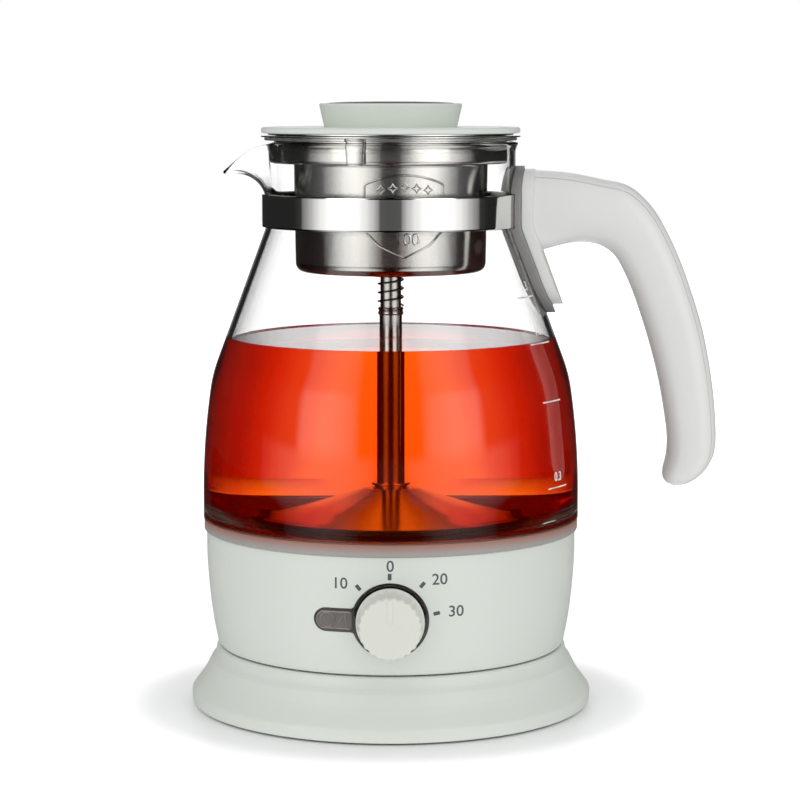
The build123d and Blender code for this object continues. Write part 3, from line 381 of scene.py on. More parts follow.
# ---- Underside of the base -------------------------------------------------
# A black bottom plate with four cross-head screws, a ring of dark rubber in its
# groove, and the bush in the rear wall where the supply cord goes in.

black = moulded_plastic("black glass-filled plastic", srgb(38, 39, 42), rough=0.48, grain=0.25, cloudiness=0.10)
rubber = moulded_plastic("dark foot rubber", srgb(44, 44, 46), 0.72, 0.35, cloudiness=0.12, specular=0.3)


def paint(material, *names):
    """Gives a better material to solids that stay as they are."""
    for name in names:
        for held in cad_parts[name].material_slots:
            held.material = material


def worked_metal(name, colour, rough, brush=3600.0, depth=0.02, contrast=0.035, aniso=0.0):
    """Sheet or turned metal: fine circular tool marks round the axis, uneven in tone and sheen."""
    material, tree, shader, coords = new_shader(name)
    x, y, z = axes_of(tree, coords)
    stretched = ((calc(tree, "ARCTAN2", y, x), 5.0), (length(tree, vector(tree, X=x, Y=y)), brush), (z, brush))
    round_it, out, up = (calc(tree, "MULTIPLY", value, size) for value, size in stretched)
    lines = noise(tree, vector(tree, X=round_it, Y=out, Z=up), 1.0, 4.0)
    look = {
        "Metallic": 1.0,
        "Base Color": toned(tree, lines, colour, 1 - contrast, 1 + contrast),
        "Roughness": spread(tree, lines, rough * 0.9, rough * 1.12),
        "Normal": relief(tree, lines, depth, 0.00002),
    }
    fill(tree, shader, look)
    if aniso:
        # The light is smeared across the marks.
        tangent = add_node(tree, "ShaderNodeTangent", direction_type="RADIAL", axis="Z").outputs[0]
        fill(tree, shader, {"Anisotropic": aniso, "Anisotropic Rotation": 0.25, "Tangent": tangent})
    return material


zinc = worked_metal("zinc plated steel", srgb(176, 178, 182), 0.30)
paint(black, "base_plate", "cord_gland", "base_connector")
foot = [(66.0, 0.0, 0.5), (72.0, 0.0, 0.5), (72.0, 2.0), (66.0, 2.0)]
turned("foot_ring", foot, rubber, "base", "foot_rubber")


# ---- Screws ----------------------------------------------------------------
# Cross-head thread-forming screws, four up through the bottom plate and three up
# through the cover of the housing, each sunk in its counterbore.


def evaluated(holder):
    """What the modifiers or the curve settings of an object make, as a new mesh."""
    graph = bpy.context.evaluated_depsgraph_get()
    return bpy.data.meshes.new_from_object(holder.evaluated_get(graph))


def baked(piece):
    """Turns what the modifiers make into a plain mesh."""
    mesh = evaluated(piece)
    piece.modifiers.clear()
    old, piece.data = piece.data, mesh
    if old.users == 0:
        bpy.data.meshes.remove(old)
    return piece


def carved(piece, tool, kind="DIFFERENCE"):
    """Cuts a piece with a tool, or keeps what both share."""
    cut = piece.modifiers.new("cut", "BOOLEAN")
    cut.operation = kind
    cut.solver = "EXACT"
    cut.object = tool
    baked(piece)
    bpy.data.objects.remove(tool)
    return smooth(piece)


def prism(name, shape, put, ends, material):
    """A bar with the outline shape. put gives the place of (across, up, along), ends the two stops."""
    count = len(shape)
    verts = [put(a, b, end) for end in ends for a, b in shape]
    caps = [tuple(range(count)), tuple(range(2 * count - 1, count - 1, -1))]
    sides = quads([list(range(count)), list(range(count, 2 * count))])
    return piece_from(name, verts, caps + sides, material)


def swung(angle):
    """Puts (out, across, height) at an angle round the axis."""
    c, s = math.cos(angle), math.sin(angle)
    return lambda out, across, z: (out * c - across * s, out * s + across * c, z)


def cross_head(name, radius, height, material):
    """The head of a screw seen from below, with its cross recess pressed in."""
    head = lathe(name, [(0.0, 0.0), (radius, 0.0, 0.35), (radius, height), (0.0, height)], material, 40, False)
    long, thin = radius * 0.62, radius * 0.13
    for angle in (45, 135):
        bar = [(-long, -thin), (long, -thin), (long, thin), (-long, thin)]
        head = carved(head, prism("bar", bar, swung(math.radians(angle)), (-1.0, height * 0.7), material))
    return head


def node_group(name, inputs):
    """An empty geometry tree with named inputs, its input sockets and its output node."""
    group = bpy.data.node_groups.new(name, "GeometryNodeTree")
    for label, kind in inputs.items():
        group.interface.new_socket(name=label, in_out="INPUT", socket_type="NodeSocket" + kind)
    group.interface.new_socket(name="Mesh", in_out="OUTPUT", socket_type="NodeSocketGeometry")
    return group, group.nodes.new("NodeGroupInput").outputs, group.nodes.new("NodeGroupOutput")


def shape_of(group, holder):
    """The mesh or the curve of an object that a geometry tree is given."""
    return add_node(group, "GeometryNodeObjectInfo", {"Object": holder}).outputs["Geometry"]


def deliver(group, shape, finish, made):
    """Ends a geometry tree: copies made real, the finish put on."""
    shape = add_node(group, "GeometryNodeRealizeInstances", {0: shape.outputs[0]})
    shape = add_node(group, "GeometryNodeSetMaterial", {"Geometry": shape.outputs[0], "Material": finish})
    fill(group, made, {0: shape.outputs[0]})


def grown(name, group, values, sharp=32.0):
    """Runs a geometry tree on an empty mesh and keeps the result as a plain mesh."""
    holder = added(name, bpy.data.meshes.new(name))
    modifier = holder.modifiers.new("grow", "NODES")
    modifier.node_group = group
    for item in group.interface.items_tree:
        if item.in_out == "INPUT" and item.name in values:
            modifier[item.identifier] = values[item.name]
    return smooth(baked(holder), sharp)


# Copies of one shape at an even pitch on a circle round the axis.
numbers = {"Count": "Int", "Radius": "Float", "First": "Float", "Height": "Float"}
wheel, given, made = node_group("round the axis", {"Shape": "Object", **numbers, "Finish": "Material"})
circle = add_node(wheel, "GeometryNodeMeshCircle", {"Vertices": given["Count"], "Radius": given["Radius"]})
spot = {"Translation": vector(wheel, Z=given["Height"]), "Rotation": vector(wheel, Z=given["First"])}
circle = add_node(wheel, "GeometryNodeTransform", {"Geometry": circle.outputs[0], **spot}).outputs[0]
x, y, _ = axes_of(wheel, add_node(wheel, "GeometryNodeInputPosition").outputs[0])
facing = vector(wheel, Z=calc(wheel, "ARCTAN2", y, x))
spot = {"Points": circle, "Instance": shape_of(wheel, given["Shape"]), "Rotation": facing}
deliver(wheel, add_node(wheel, "GeometryNodeInstanceOnPoints", spot), given["Finish"], made)


def round_the_axis(name, shape, count, radius, first, height, material):
    values = {"Shape": shape, "Count": count, "Radius": radius * MM, "First": math.radians(first)}
    return grown(name, wheel, {**values, "Height": height * MM, "Finish": material})


head = cross_head("screw head", 3.0, 1.05, zinc)
base_screws = round_the_axis("base_screws", head, 4, 56.0, 45.0, 1.35, zinc)
housing_screws = round_the_axis("housing_screws", head, 3, 52.0, 90.0, 23.75, zinc)
bpy.data.objects.remove(head)
dress(base_screws, "base", "screw_steel", "base_screws")
dress(housing_screws, "jug", "screw_steel", "housing_screws")


# ---- Coupling --------------------------------------------------------------
# The tower on the base and the socket in the jug's underside, both black, with
# brass contacts. They show when the jug is lifted off.

brass = worked_metal("bare brass", srgb(205, 168, 92), 0.24)
jacket = moulded_plastic("silicone wire jacket", srgb(150, 46, 36), rough=0.5)
paint(black, "jug_connector", "housing_cover")
paint(brass, "base_contacts", "jug_contacts")
paint(jacket, "base_leads", "element_leads")
tower_side = [
    (0.0, 22.4), (3.0, 22.4), (3.0, 33.7, 0.4), (7.9, 33.7, 0.3), (7.9, 22.4), (11.1, 22.4),
    (11.1, 33.7, 0.3), (16.5, 33.7, 1.2), (16.5, 20.6), (22.0, 20.6), (22.0, 18.9), (0.0, 18.9),
]
dress(lathe("coupling_tower", tower_side, black, 96, False), "base", "inner_plastic", "base_connector")


# ---- Heater housing --------------------------------------------------------
# The wall of the jug's lower part, the same sage plastic as the base: it comes out
# gently towards the glass and has an opening at the front for the dial's window.

DIAL_Z = 44.7
WALL = [
    (66.95, 24.4), (67.3, 25.6), (68.1, 29.5), (68.9, 34.0), (69.65, 39.3), (70.25, 44.7),
    (70.7, 50.0), (71.05, 55.0), (71.25, 60.0), (71.25, 68.4),
]


def wall_r(z):
    """The housing's outer radius at a height."""
    return float(np.interp(z, [p[1] for p in WALL], [p[0] for p in WALL]))


def dial_outline(grow=0.0, steps=12):
    """The dial window from the front, (x, z) round its edge: a round with a tab to the left."""
    radius, half, neck, left = 14.2 + grow, 4.5 + grow, 1.6 - grow, 27.9 + grow
    away = -math.sqrt((radius + neck) ** 2 - (half + neck) ** 2)
    lean = math.atan2(half + neck, away)
    points = []
    for k in range(steps + 1):
        a = -math.pi / 2 + (lean + math.pi / 2 - math.pi) * k / steps
        points.append((away + neck * math.cos(a), half + neck + neck * math.sin(a)))
    for k in range(1, 8 * steps):
        a = lean - 2 * lean * k / (8 * steps)
        points.append((radius * math.cos(a), radius * math.sin(a)))
    points += [(x, -z) for x, z in reversed(points[: steps + 1])]
    for k in range(2 * steps + 1):
        a = -math.pi / 2 - math.pi * k / (2 * steps)
        points.append((-left + half + half * math.cos(a), half * math.sin(a)))
    return points


def front_bar(name, shape, material, near=-90.0, far=-50.0):
    """A bar along Y with an outline in x and z about the dial's centre, as a rule right through the wall."""
    return prism(name, shape, lambda x, z, y: (x, y, z + DIAL_Z), (near, far), material)


foot, inside = [(64.6, 23.65), (66.4, 23.65, 1.2)], [(68.9, 68.4), (68.9, 58.0), (67.8, 44.7), (65.0, 26.0)]
housing = lathe("heater_housing", foot + WALL[1:-1] + [(71.25, 68.4, 0.5)] + inside, sage, 256)
housing = carved(housing, front_bar("window cut", dial_outline(), sage))
dress(housing, "jug", "sage_plastic", "heater_housing")


# ---- Dial window -----------------------------------------------------------
# A smoky glossy bezel that follows the wall, sunk round the knob, with a tab to the
# left: in it a clear light guide with a round lamp window, framed by a raised rim.


def smoked(name, colour, rough=0.07, through=0.0):
    """Glossy tinted polycarbonate with flow marks in its tone."""
    tone, sheen, skin = (210.0, 5.0, 0.72, 1.28), (90.0, 3.0, rough * 0.8, rough * 1.4), (210.0, 5.0, 0.06, 0.0002)
    more = {"Transmission Weight": through, "Coat Weight": 0.6, "Coat Roughness": 0.04}
    return uneven(name, colour, tone, sheen, skin, more)


smoke = smoked("smoky polycarbonate", srgb(40, 35, 33))
guide = smoked("clear light guide", srgb(104, 98, 94), rough=0.12, through=0.15)
# A lighter copy of the guide's finish for its edges: a painted highlight on the rim, the lamp ring and the facets.
painted_highlight_edge = smoked("light guide with a painted highlight", srgb(130, 124, 118), rough=0.12, through=0.1)


def wall_shell(name, inner, outer, material):
    """A ring that follows the housing's wall between two distances from it."""
    rows = [(wall_r(z), z) for z in np.linspace(26.0, 62.0, 25)]
    side = [(r + outer, z) for r, z in rows] + [(r + inner, z) for r, z in reversed(rows)]
    return lathe(name, side, material, 360)


def disc(radius, steps=72, x=0.0, z=0.0):
    turns = np.linspace(0, 2 * math.pi, steps, endpoint=False)
    return [(x + radius * math.cos(a), z + radius * math.sin(a)) for a in turns]


def softened(piece, width, segments=3, angle=35, sharp=40):
    """Rounds the sharp edges of a piece and shades it smooth."""
    soft = piece.modifiers.new("soft edges", "BEVEL")
    soft.width = width * MM
    soft.segments = segments
    soft.angle_limit = math.radians(angle)
    soft.harden_normals = False
    return smooth(baked(piece), sharp)


bezel = wall_shell("dial_bezel", -2.0, 0.18, smoke)
bezel = carved(bezel, front_bar("edge", dial_outline(-0.12), smoke), "INTERSECT")
bezel = carved(bezel, front_bar("well", disc(13.0), smoke, far=-69.55))
bezel = carved(bezel, front_bar("shaft hole", disc(3.6), smoke))
softened(bezel, 0.18, 2)
dress(bezel, "jug", "smoke_lens", "dial_lens")


def on_wall(x, z, proud=0.0):
    """A point in front of the dial put on the housing's wall."""
    r = wall_r(z + DIAL_Z) + proud
    return (x, -math.sqrt(r * r - x * x), z + DIAL_Z)


def poly_curve(name, points, closed=False, **settings):
    """A curve object along points in millimetres."""
    curve = bpy.data.curves.new(name, "CURVE")
    curve.dimensions = "3D"
    for key, value in settings.items():
        setattr(curve, key, value)
    line = curve.splines.new("POLY")
    line.points.add(len(points) - 1)
    for place, point in zip(line.points, points):
        place.co = (*(c * MM for c in point), 1.0)
    line.use_cyclic_u = closed
    return added(name, curve)


def bead(name, points, radius, material, closed=True):
    """A round bead along a line of points, half sunk in what it lies on."""
    round_wire = {"bevel_depth": radius * MM, "bevel_resolution": 3, "use_fill_caps": not closed}
    holder = poly_curve(name, points, closed, **round_wire)
    mesh = evaluated(holder)
    bpy.data.objects.remove(holder)
    return piece_of(name, mesh, material, 60)


def joined(name, pieces, material):
    """Several meshes as one piece."""
    whole = bmesh.new()
    for piece in pieces:
        whole.from_mesh(piece.data)
        bpy.data.objects.remove(piece)
    mesh = bpy.data.meshes.new(name)
    whole.to_mesh(mesh)
    whole.free()
    return piece_of(name, mesh, material)


pill = [(x, z) for x, z in dial_outline(-1.15) if x < -15.2 and abs(z) < 3.2]
rim = [on_wall(x, z, 0.16) for x, z in [(-14.6, -3.1)] + pill + [(-14.6, 3.1)]]
lamp = [on_wall(x, z, 0.16) for x, z in disc(2.6, 40, -23.0, 0.1)]
facets = [bead("rim", rim, 0.42, painted_highlight_edge, closed=False), bead("lamp", lamp, 0.34, painted_highlight_edge)]
for x, z, tilt, half in ((-18.2, 0.3, math.radians(62), 2.1), (-16.2, 0.2, math.radians(98), 2.2)):
    ends = [on_wall(x + s * half * math.cos(tilt), z + s * half * math.sin(tilt), 0.14) for s in (-1, 1)]
    facets.append(bead("facet", ends, 0.32, painted_highlight_edge, closed=False))
dress(joined("indicator_frame", facets, painted_highlight_edge), "jug", "smoke_lens")
tab = [(x, z) for x, z in dial_outline(-1.3) if x < -13.9]
window = wall_shell("indicator_window", -0.6, 0.21, guide)
window = carved(window, front_bar("window edge", tab, guide), "INTERSECT")
dress(window, "jug", "smoke_lens")


# ---- Selector knob ---------------------------------------------------------
# A white fluted knob on the shaft of the rotary switch, a little narrower at its
# face, with a low raised pointer. It turns 40 degrees one way and 80 the other.

ivory = moulded_plastic("warm white knob plastic", srgb(226, 228, 219), rough=0.36)
FACE_Y, BACK_Y, FLUTES, FLUTE_EDGE, KNOB_SIDES = -85.25, -71.9, 24, 2.2, 384


def knob_ring(radius, y, depth):
    """One ring of the knob's side, with flutes of a given depth."""
    points = []
    for k in range(KNOB_SIDES):
        a = 2 * math.pi * k / KNOB_SIDES
        wave = math.tanh(FLUTE_EDGE * math.cos(FLUTES * a)) / math.tanh(FLUTE_EDGE)
        r = radius - depth * (0.5 + 0.5 * wave)
        points.append((r * math.sin(a), y, DIAL_Z + r * math.cos(a)))
    return points


def block(half_a, half_b, corner, steps=6, up=0.0):
    """A rectangle about the origin, or a way up from it, with rounded corners."""
    corners = [(a * half_a, b * half_b + up, corner) for a, b in ((-1, -1), (1, -1), (1, 1), (-1, 1))]
    return outline(corners, steps, True)


rings = [(9.4, BACK_Y, 0.0), (12.2, BACK_Y, 0.0), (12.5, BACK_Y - 0.3, 0.0), (12.5, BACK_Y - 1.9, 0.0)]
rings += [(12.35, BACK_Y - 2.3, 0.1)]
rings += [(12.35 - 0.075 * s, BACK_Y - s, 0.42) for s in (4.0, 7.0, 10.0, 11.6)]
for lean in np.linspace(0.0, math.pi / 2, 9):
    turned_in = 1 - math.cos(lean)
    rings.append((11.42 - 1.1 * turned_in, FACE_Y + 1.1 * (1 - math.sin(lean)), 0.42 * (1 - turned_in) ** 0.5))
rings += [(9.9, FACE_Y, 0.0), (7.0, FACE_Y + 0.03, 0.0), (3.0, FACE_Y + 0.05, 0.0)]
verts = [point for ring in rings for point in knob_ring(*ring)]
rows = np.arange(len(verts)).reshape(-1, KNOB_SIDES).tolist()
middle = len(verts)
verts += [(0.0, FACE_Y + 0.05, DIAL_Z)] + knob_ring(9.4, FACE_Y + 2.6, 0.0) + [(0.0, FACE_Y + 2.6, DIAL_Z)]
hollow = [rows[0], list(range(middle + 1, middle + 1 + KNOB_SIDES)), [len(verts) - 1] * KNOB_SIDES]
knob = piece_from("selector_knob", verts, quads(rows + [[middle] * KNOB_SIDES]) + quads(hollow), ivory, 40)
pointer = block(1.0, 4.425, 0.45, up=6.125)
pointer = front_bar("ridge", pointer, ivory, FACE_Y - 0.30, FACE_Y + 0.5)
softened(pointer, 0.22)
stem = front_bar("stem", disc(4.9, 64), ivory, FACE_Y + 2.0, BACK_Y)
dress(joined("selector_knob", [knob, pointer, stem], ivory), "knob", "knob_plastic", "selector_knob")
paint(black, "switch_shaft")


# ---- Marks round the dial --------------------------------------------------
# Four dark grey dashes and plain numbers, pad printed on the housing: 40 degrees
# apart, one for each position of the knob.

ink = moulded_plastic("dark grey pad print", srgb(84, 87, 91), rough=0.5, grain=0.05, cloudiness=0.10)
SIZE_PER_HEIGHT = 1.42


def flat_text(words, height, x=0.0, z=0.0):
    """The outline of some words about a place as a flat mesh, in millimetres."""
    curve = bpy.data.curves.new(words, "FONT")
    curve.body = words
    curve.size = height * SIZE_PER_HEIGHT
    curve.align_x = curve.align_y = "CENTER"
    curve.resolution_u = 4
    curve.offset = 0.05
    holder = added(words, curve)
    mesh = evaluated(holder)
    points = [(x + v.co.x, z + v.co.y) for v in mesh.vertices]
    faces = [tuple(f.vertices) for f in mesh.polygons]
    bpy.data.objects.remove(holder)
    bpy.data.meshes.remove(mesh)
    return points, faces


def printed(shapes, put, thick=0.04):
    """Flat shapes laid on a surface as thin films. put gives the place of (x, z, height over the surface)."""
    verts, faces = [], []
    for points, flat in shapes:
        start, count = len(verts), len(points)
        verts += [put(x, z, thick) for x, z in points] + [put(x, z, -0.05) for x, z in points]
        used = {}
        for face in flat:
            faces.append(tuple(start + i for i in face))
            faces.append(tuple(start + count + i for i in reversed(face)))
            for a, b in zip(face, face[1:] + face[:1]):
                used[(a, b)] = True
        faces += [(start + a, start + b, start + count + b, start + count + a) for a, b in used if (b, a) not in used]
    return verts, faces


def dash(x, z, lean):
    """A small bar turned by an angle, as points and one face."""
    c, s = math.cos(math.radians(lean)), math.sin(math.radians(lean))
    corners = block(1.35 / 2, 2.4 / 2, 0.25, 3)
    return [(x + a * c + b * s, z - a * s + b * c) for a, b in corners], [tuple(range(len(corners)))]


marks = [dash(*spot) for spot in ((-11.6, 12.4, -40), (-0.2, 16.5, 0), (11.7, 13.4, 40), (16.9, 2.6, 80))]
for words, x, z in (("10", -18.3, 13.65), ("0", 0.0, 20.2), ("20", 18.0, 15.1), ("30", 24.0, 2.9)):
    marks.append(flat_text(words, 4.1, x, z))
dress(piece_from("dial_marks", *printed(marks, on_wall), ink), "jug", "inner_plastic")


# ---- Parts under the heating plate -----------------------------------------
# Not seen once the jug is closed: an aluminium spreader with its element, the
# thermostat and fuse, the board with the switch and lamp, and their leads.

aluminium = worked_metal("rolled aluminium", srgb(196, 198, 200), 0.34)
board_green = moulded_plastic("green solder mask", srgb(28, 92, 58), rough=0.3, cloudiness=0.15)
lamp_red = moulded_plastic("diffuse red epoxy", srgb(206, 82, 66), rough=0.2)
paint(aluminium, "heat_spreader", "heating_element")
paint(zinc, "thermal_fuse", "temperature_probe", "board_screws")
paint(black, "thermostat", "rotary_switch")
paint(board_green, "control_board")
paint(lamp_red, "indicator_led")


# ---- Seal ring and heating plate -------------------------------------------
# A warm grey silicone ring carries the glass on the housing and grips the edge of
# the spun steel plate that is the floor of the jug.


def silicone(name, colour, rough=0.46, depth=0.15, grain=0.10, through=0.0):
    """Silicone rubber: a soft skin with a little light let in and a dusty sheen."""
    tone, sheen, skin = (60.0, 5.0, 0.95, 1.05), (300.0, 3.0, rough - 0.06, rough + 0.08), (1400.0, 3.0, grain, 0.00008)
    more = {"Subsurface Weight": depth, "Subsurface Radius": (0.004, 0.004, 0.004), "Subsurface Scale": 0.5}
    return uneven(name, colour, tone, sheen, skin, {"Transmission Weight": through, **more})


def by_height(material, low, high, under, over):
    """The base colour of a material goes from under to over between two heights."""
    tree = material.node_tree
    coords = add_node(tree, "ShaderNodeTexCoord").outputs["Object"]
    ends = {"Value": axes_of(tree, coords)["Z"], "From Min": low * MM, "From Max": high * MM}
    level = add_node(tree, "ShaderNodeMapRange", ends).outputs["Result"]
    fill(tree, tree.nodes["Principled BSDF"], {"Base Color": choose(tree, level, under, over)})


tea_glow_silicone = silicone("grey silicone with a painted glow of the tea", srgb(158, 155, 152), grain=0.03)
# Painted glow: the ring goes red towards its top, standing in for the light of the tea that stands on it.
by_height(tea_glow_silicone, 69.6, 72.4, srgb(165, 160, 157), srgb(168, 120, 106))
steel = worked_metal("brushed stainless steel", srgb(222, 220, 214), 0.165, aniso=0.5)
ring_side = [
    (65.5, 68.45), (72.2, 68.45, 0.5), (72.2, 73.1, 0.4), (71.7, 73.1), (71.6, 73.4),
    (66.2, 73.4), (66.2, 70.05), (68.0, 70.05), (68.0, 69.2), (65.5, 69.2),
]
turned("seal_ring", ring_side, tea_glow_silicone, "jug", "grey_silicone", 224)
plate = [(0.0, 69.2), (67.9, 69.2), (67.9, 70.0), (0.0, 70.0)]
turned("heating_plate", plate, steel, "jug", "brushed_steel", 128, False)


# ---- Glass jug -------------------------------------------------------------
# Blown borosilicate glass, 2.2 mm thick: an upright belly, a slope up to the neck and
# a flared rim, drawn out at the back of the neck into a beak open at the top.


def clear_glass(name, facing, gloss=WHITE):
    """Clear blown glass with the faintest draw marks. facing is a painted shade on what shows through, by the slant."""
    material, tree, shader, coords = new_shader(name)
    slant = add_node(tree, "ShaderNodeLayerWeight", {"Blend": 0.5}).outputs["Facing"]
    look = {
        "Base Color": colour_ramp(tree, slant, facing),
        "Normal": relief(tree, noise(tree, coords, 26.0, 1.0), 0.04, 0.0004),
        "Transmission Weight": 1.0,
        "IOR": 1.47,
        "Roughness": 0.0,
        "Specular Tint": gloss,
    }
    fill(tree, shader, look)
    return material


# Painted shade: the dark of the room gathers in the edges of the glass.
painted_edge_shade = [(0.65, 0.99, 0.995, 0.992), (0.86, 0.93, 0.94, 0.935), (0.95, 0.66, 0.68, 0.67), (1.0, 0.32, 0.34, 0.33)]
glass = clear_glass("borosilicate glass", [(0.0, 0.996, 1.0, 0.998)] + painted_edge_shade)
# A lighter painted shade at the slanting edges of the inner face.
painted_inner_edge_shade = [(0.0, 0.998, 1.0, 0.998), (0.80, 0.99, 0.995, 0.99), (1.0, 0.85, 0.86, 0.86)]
inner_glass = clear_glass("borosilicate glass, inner face", painted_inner_edge_shade)
# Where tea stands behind it the wall has no gloss of its own, and a painted shade makes the tea darker and redder where
# the wall is seen at a slant, in place of the dark room seen through it.
painted_tea_edge_shade = [
    (0.0, 1.0, 1.0, 1.0), (0.030, 1.0, 1.0, 1.0), (0.059, 0.92, 0.90, 0.9), (0.070, 0.85, 0.58, 0.6),
    (0.096, 0.62, 0.14, 0.2), (0.149, 0.44, 0.022, 0.1), (0.217, 0.25, 0.009, 0.02), (0.30, 0.14, 0.012, 0.01),
]
wet_glass = clear_glass("borosilicate glass wetted by tea", painted_tea_edge_shade, gloss=BLACK)
# At its thick foot the wall has no painted edge shade and passes the light on as it is.
painted_tea_edge_tint = wet_glass.node_tree.nodes["Principled BSDF"].inputs["Base Color"].links[0].from_socket
by_height(wet_glass, 74.5, 80.0, (1.0, 0.97, 0.95, 1.0), painted_tea_edge_tint)
GLASS_T, NECK_R, FOOT_Z, RIM_Z, BEAK_Z, TEA_Z = 2.2, 47.8, 73.12, 217.0, 194.0, 141.7
HEEL_T, HEEL_Z, HEEL_RUN = 2.4, 83.0, 10.0
# In degrees from the beak's middle: its end, its fade into the neck, the close columns.
BEAK_HALF, BEAK_FADE, CLOSE_HALF = 26.0, 9.0, 30.0
belly = [(72.5, FOOT_Z), (72.5, 101.0, 280.0), (68.75, 128.0, 55.0)]
neck = [(NECK_R, 184.6, 8.0), (NECK_R, 213.8, 2.0), (48.7, 216.6), (48.7, RIM_Z)]
side_r, side_z = np.array(outline(belly + neck, steps=14)).T


def jug_r(z):
    """The jug's outer radius at a height, away from the beak."""
    return np.interp(z, side_z, side_r)


# The beak by angle from its middle: degrees, lip radius, lip height, and how its line
# leaves the neck and comes to the lip: control in, control down, rise.
BEAK = np.array([
    (0.0, 63.6, 204.4, 8.3, -0.6, 9.4), (2.3, 63.3, 204.9, 7.0, -0.2, 9.2), (4.6, 61.5, 206.8, 4.2, 1.2, 8.4),
    (8.0, 57.6, 210.7, 2.0, 4.0, 8.2), (12.0, 53.8, 213.8, 0.7, 7.0, 9.5), (16.5, 50.8, 215.6, 0.1, 8.0, 11.0),
    (21.0, 49.1, 216.5, 0.0, 8.0, 11.0), (26.0, 48.7, 217.0, 0.0, 8.0, 11.0),
])
close = np.arange(-CLOSE_HALF, CLOSE_HALF, 0.6) + 180.0
columns = np.concatenate([close, np.arange(180.0 + CLOSE_HALF, 540.0 - CLOSE_HALF, 1.875)])
shoulder = side_z[(side_z > 170) & (side_z < BEAK_Z)]
lower = np.unique(np.concatenate([np.linspace(FOOT_Z, BEAK_Z, 46), shoulder]))
steps_up = np.linspace(0.0, 1.0, 27)[1:]
off = columns % 360.0 - 180.0
table_of = [np.interp(np.abs(off), BEAK[:, 0], BEAK[:, k]) for k in range(1, 6)]
for _ in range(2):
    table_of = [(np.roll(t, 1) + 2 * t + np.roll(t, -1)) / 4 for t in table_of]
lip_r, lip_z, draw_in, draw_down, rise = table_of
share = np.clip((BEAK_HALF - np.abs(off)) / BEAK_FADE, 0, 1)
share = share * share * (3 - 2 * share)
grid_r = np.zeros((len(lower) + len(steps_up), len(columns)))
grid_z = np.zeros_like(grid_r)
grid_r[: len(lower)] = jug_r(lower)[:, None]
grid_z[: len(lower)] = lower[:, None]
for i, t in enumerate(steps_up):
    a, b, c, d = (1 - t) ** 3, 3 * t * (1 - t) ** 2, 3 * t * t * (1 - t), t**3
    beak_r = (a + b) * NECK_R + c * (lip_r - draw_in) + d * lip_r
    beak_z = a * BEAK_Z + b * (BEAK_Z + rise) + c * (lip_z - draw_down) + d * lip_z
    plain_z = BEAK_Z + t * (RIM_Z - BEAK_Z)
    grid_r[len(lower) + i] = share * beak_r + (1 - share) * jug_r(plain_z)
    grid_z[len(lower) + i] = share * beak_z + (1 - share) * plain_z
angles = np.radians(columns)
outer = np.stack([grid_r * np.cos(angles), grid_r * np.sin(angles), grid_z], axis=2)
near_beak = (np.abs(off) < BEAK_HALF + 2)[None, :, None]
level = np.arange(len(outer))[:, None, None]
rows_near = (level > len(lower) - 6) & (level < len(outer) - 1)
for _ in range(10):
    up = np.concatenate([outer[:1], outer[:-1]])
    down = np.concatenate([outer[1:], outer[-1:]])
    mean = (up + down + np.roll(outer, 1, axis=1) + np.roll(outer, -1, axis=1)) / 4
    outer = np.where(near_beak & rows_near, outer * 0.5 + mean * 0.5, outer)
along = np.gradient(outer, axis=0)
across = (np.roll(outer, -1, axis=1) - np.roll(outer, 1, axis=1)) / 2
normal = np.cross(across, along)
normal /= np.linalg.norm(normal, axis=2, keepdims=True)


def heel(z):
    """How much thicker than the wall the glass gets towards its foot."""
    return HEEL_T * np.clip((HEEL_Z - z) / HEEL_RUN, 0, 1) ** 2.0


# The beak is drawn out thinner than the wall.
drawn = np.zeros_like(grid_r)
drawn[len(lower) :] = share[None, :] * steps_up[:, None] ** 0.7
inner = outer - normal * (GLASS_T + heel(outer[:, :, 2:3]) - drawn[:, :, None])
lip_up = along[-1] / np.linalg.norm(along[-1], axis=1, keepdims=True)
middle, half_t = (outer[-1] + inner[-1]) / 2, (outer[-1] - inner[-1]) / 2
lip = []
for a in np.linspace(0, math.pi, 9)[1:-1]:
    over = lip_up * np.linalg.norm(half_t, axis=1, keepdims=True) * math.sin(a) * 0.8
    lip.append(middle + half_t * math.cos(a) + over)
sheet = np.concatenate([outer, np.array(lip), inner[::-1]])
# The rounded lip would stand above the rim, so all of it is let down by its height.
LET_DOWN = 3.0
heights = sheet[:, :, 2] - RIM_Z + LET_DOWN
sheet[:, :, 2] = np.where(heights > 0, RIM_Z - LET_DOWN + heights * LET_DOWN / heights.max(), sheet[:, :, 2])
rows = np.arange(sheet.shape[0] * sheet.shape[1]).reshape(sheet.shape[:2]).tolist()
jug = piece_from("glass_jug", sheet.reshape(-1, 3), quads(rows, closed=True), glass, 75)
jug.data.materials.append(wet_glass)
jug.data.materials.append(inner_glass)
for face in jug.data.polygons:
    x, y, z = face.center
    if math.hypot(x, y) < (float(jug_r(z / MM)) - GLASS_T / 2) * MM:
        face.material_index = 1 if z < TEA_Z * MM else 2
dress(jug, "jug", "borosilicate", "glass_jug")


# ---- Tea -------------------------------------------------------------------
# Black tea up to its level, clear and red-orange. Its side lies a hair inside the
# glass, so that no film of air shows between them, and it creeps up the wall.

tea_mat, tree, shader, coords = new_shader("black tea")
look = {
    "Base Color": choose(tree, noise(tree, coords, 8.0), (1.0, 0.985, 0.97, 1.0), WHITE),
    "Transmission Weight": 1.0,
    "IOR": 1.333,
    "Roughness": 0.0,
    "Specular Tint": BLACK,
}
fill(tree, shader, look)
absorb = add_node(tree, "ShaderNodeVolumeAbsorption", {"Color": (0.95, 0.585, 0.03, 1.0), "Density": 46.0})
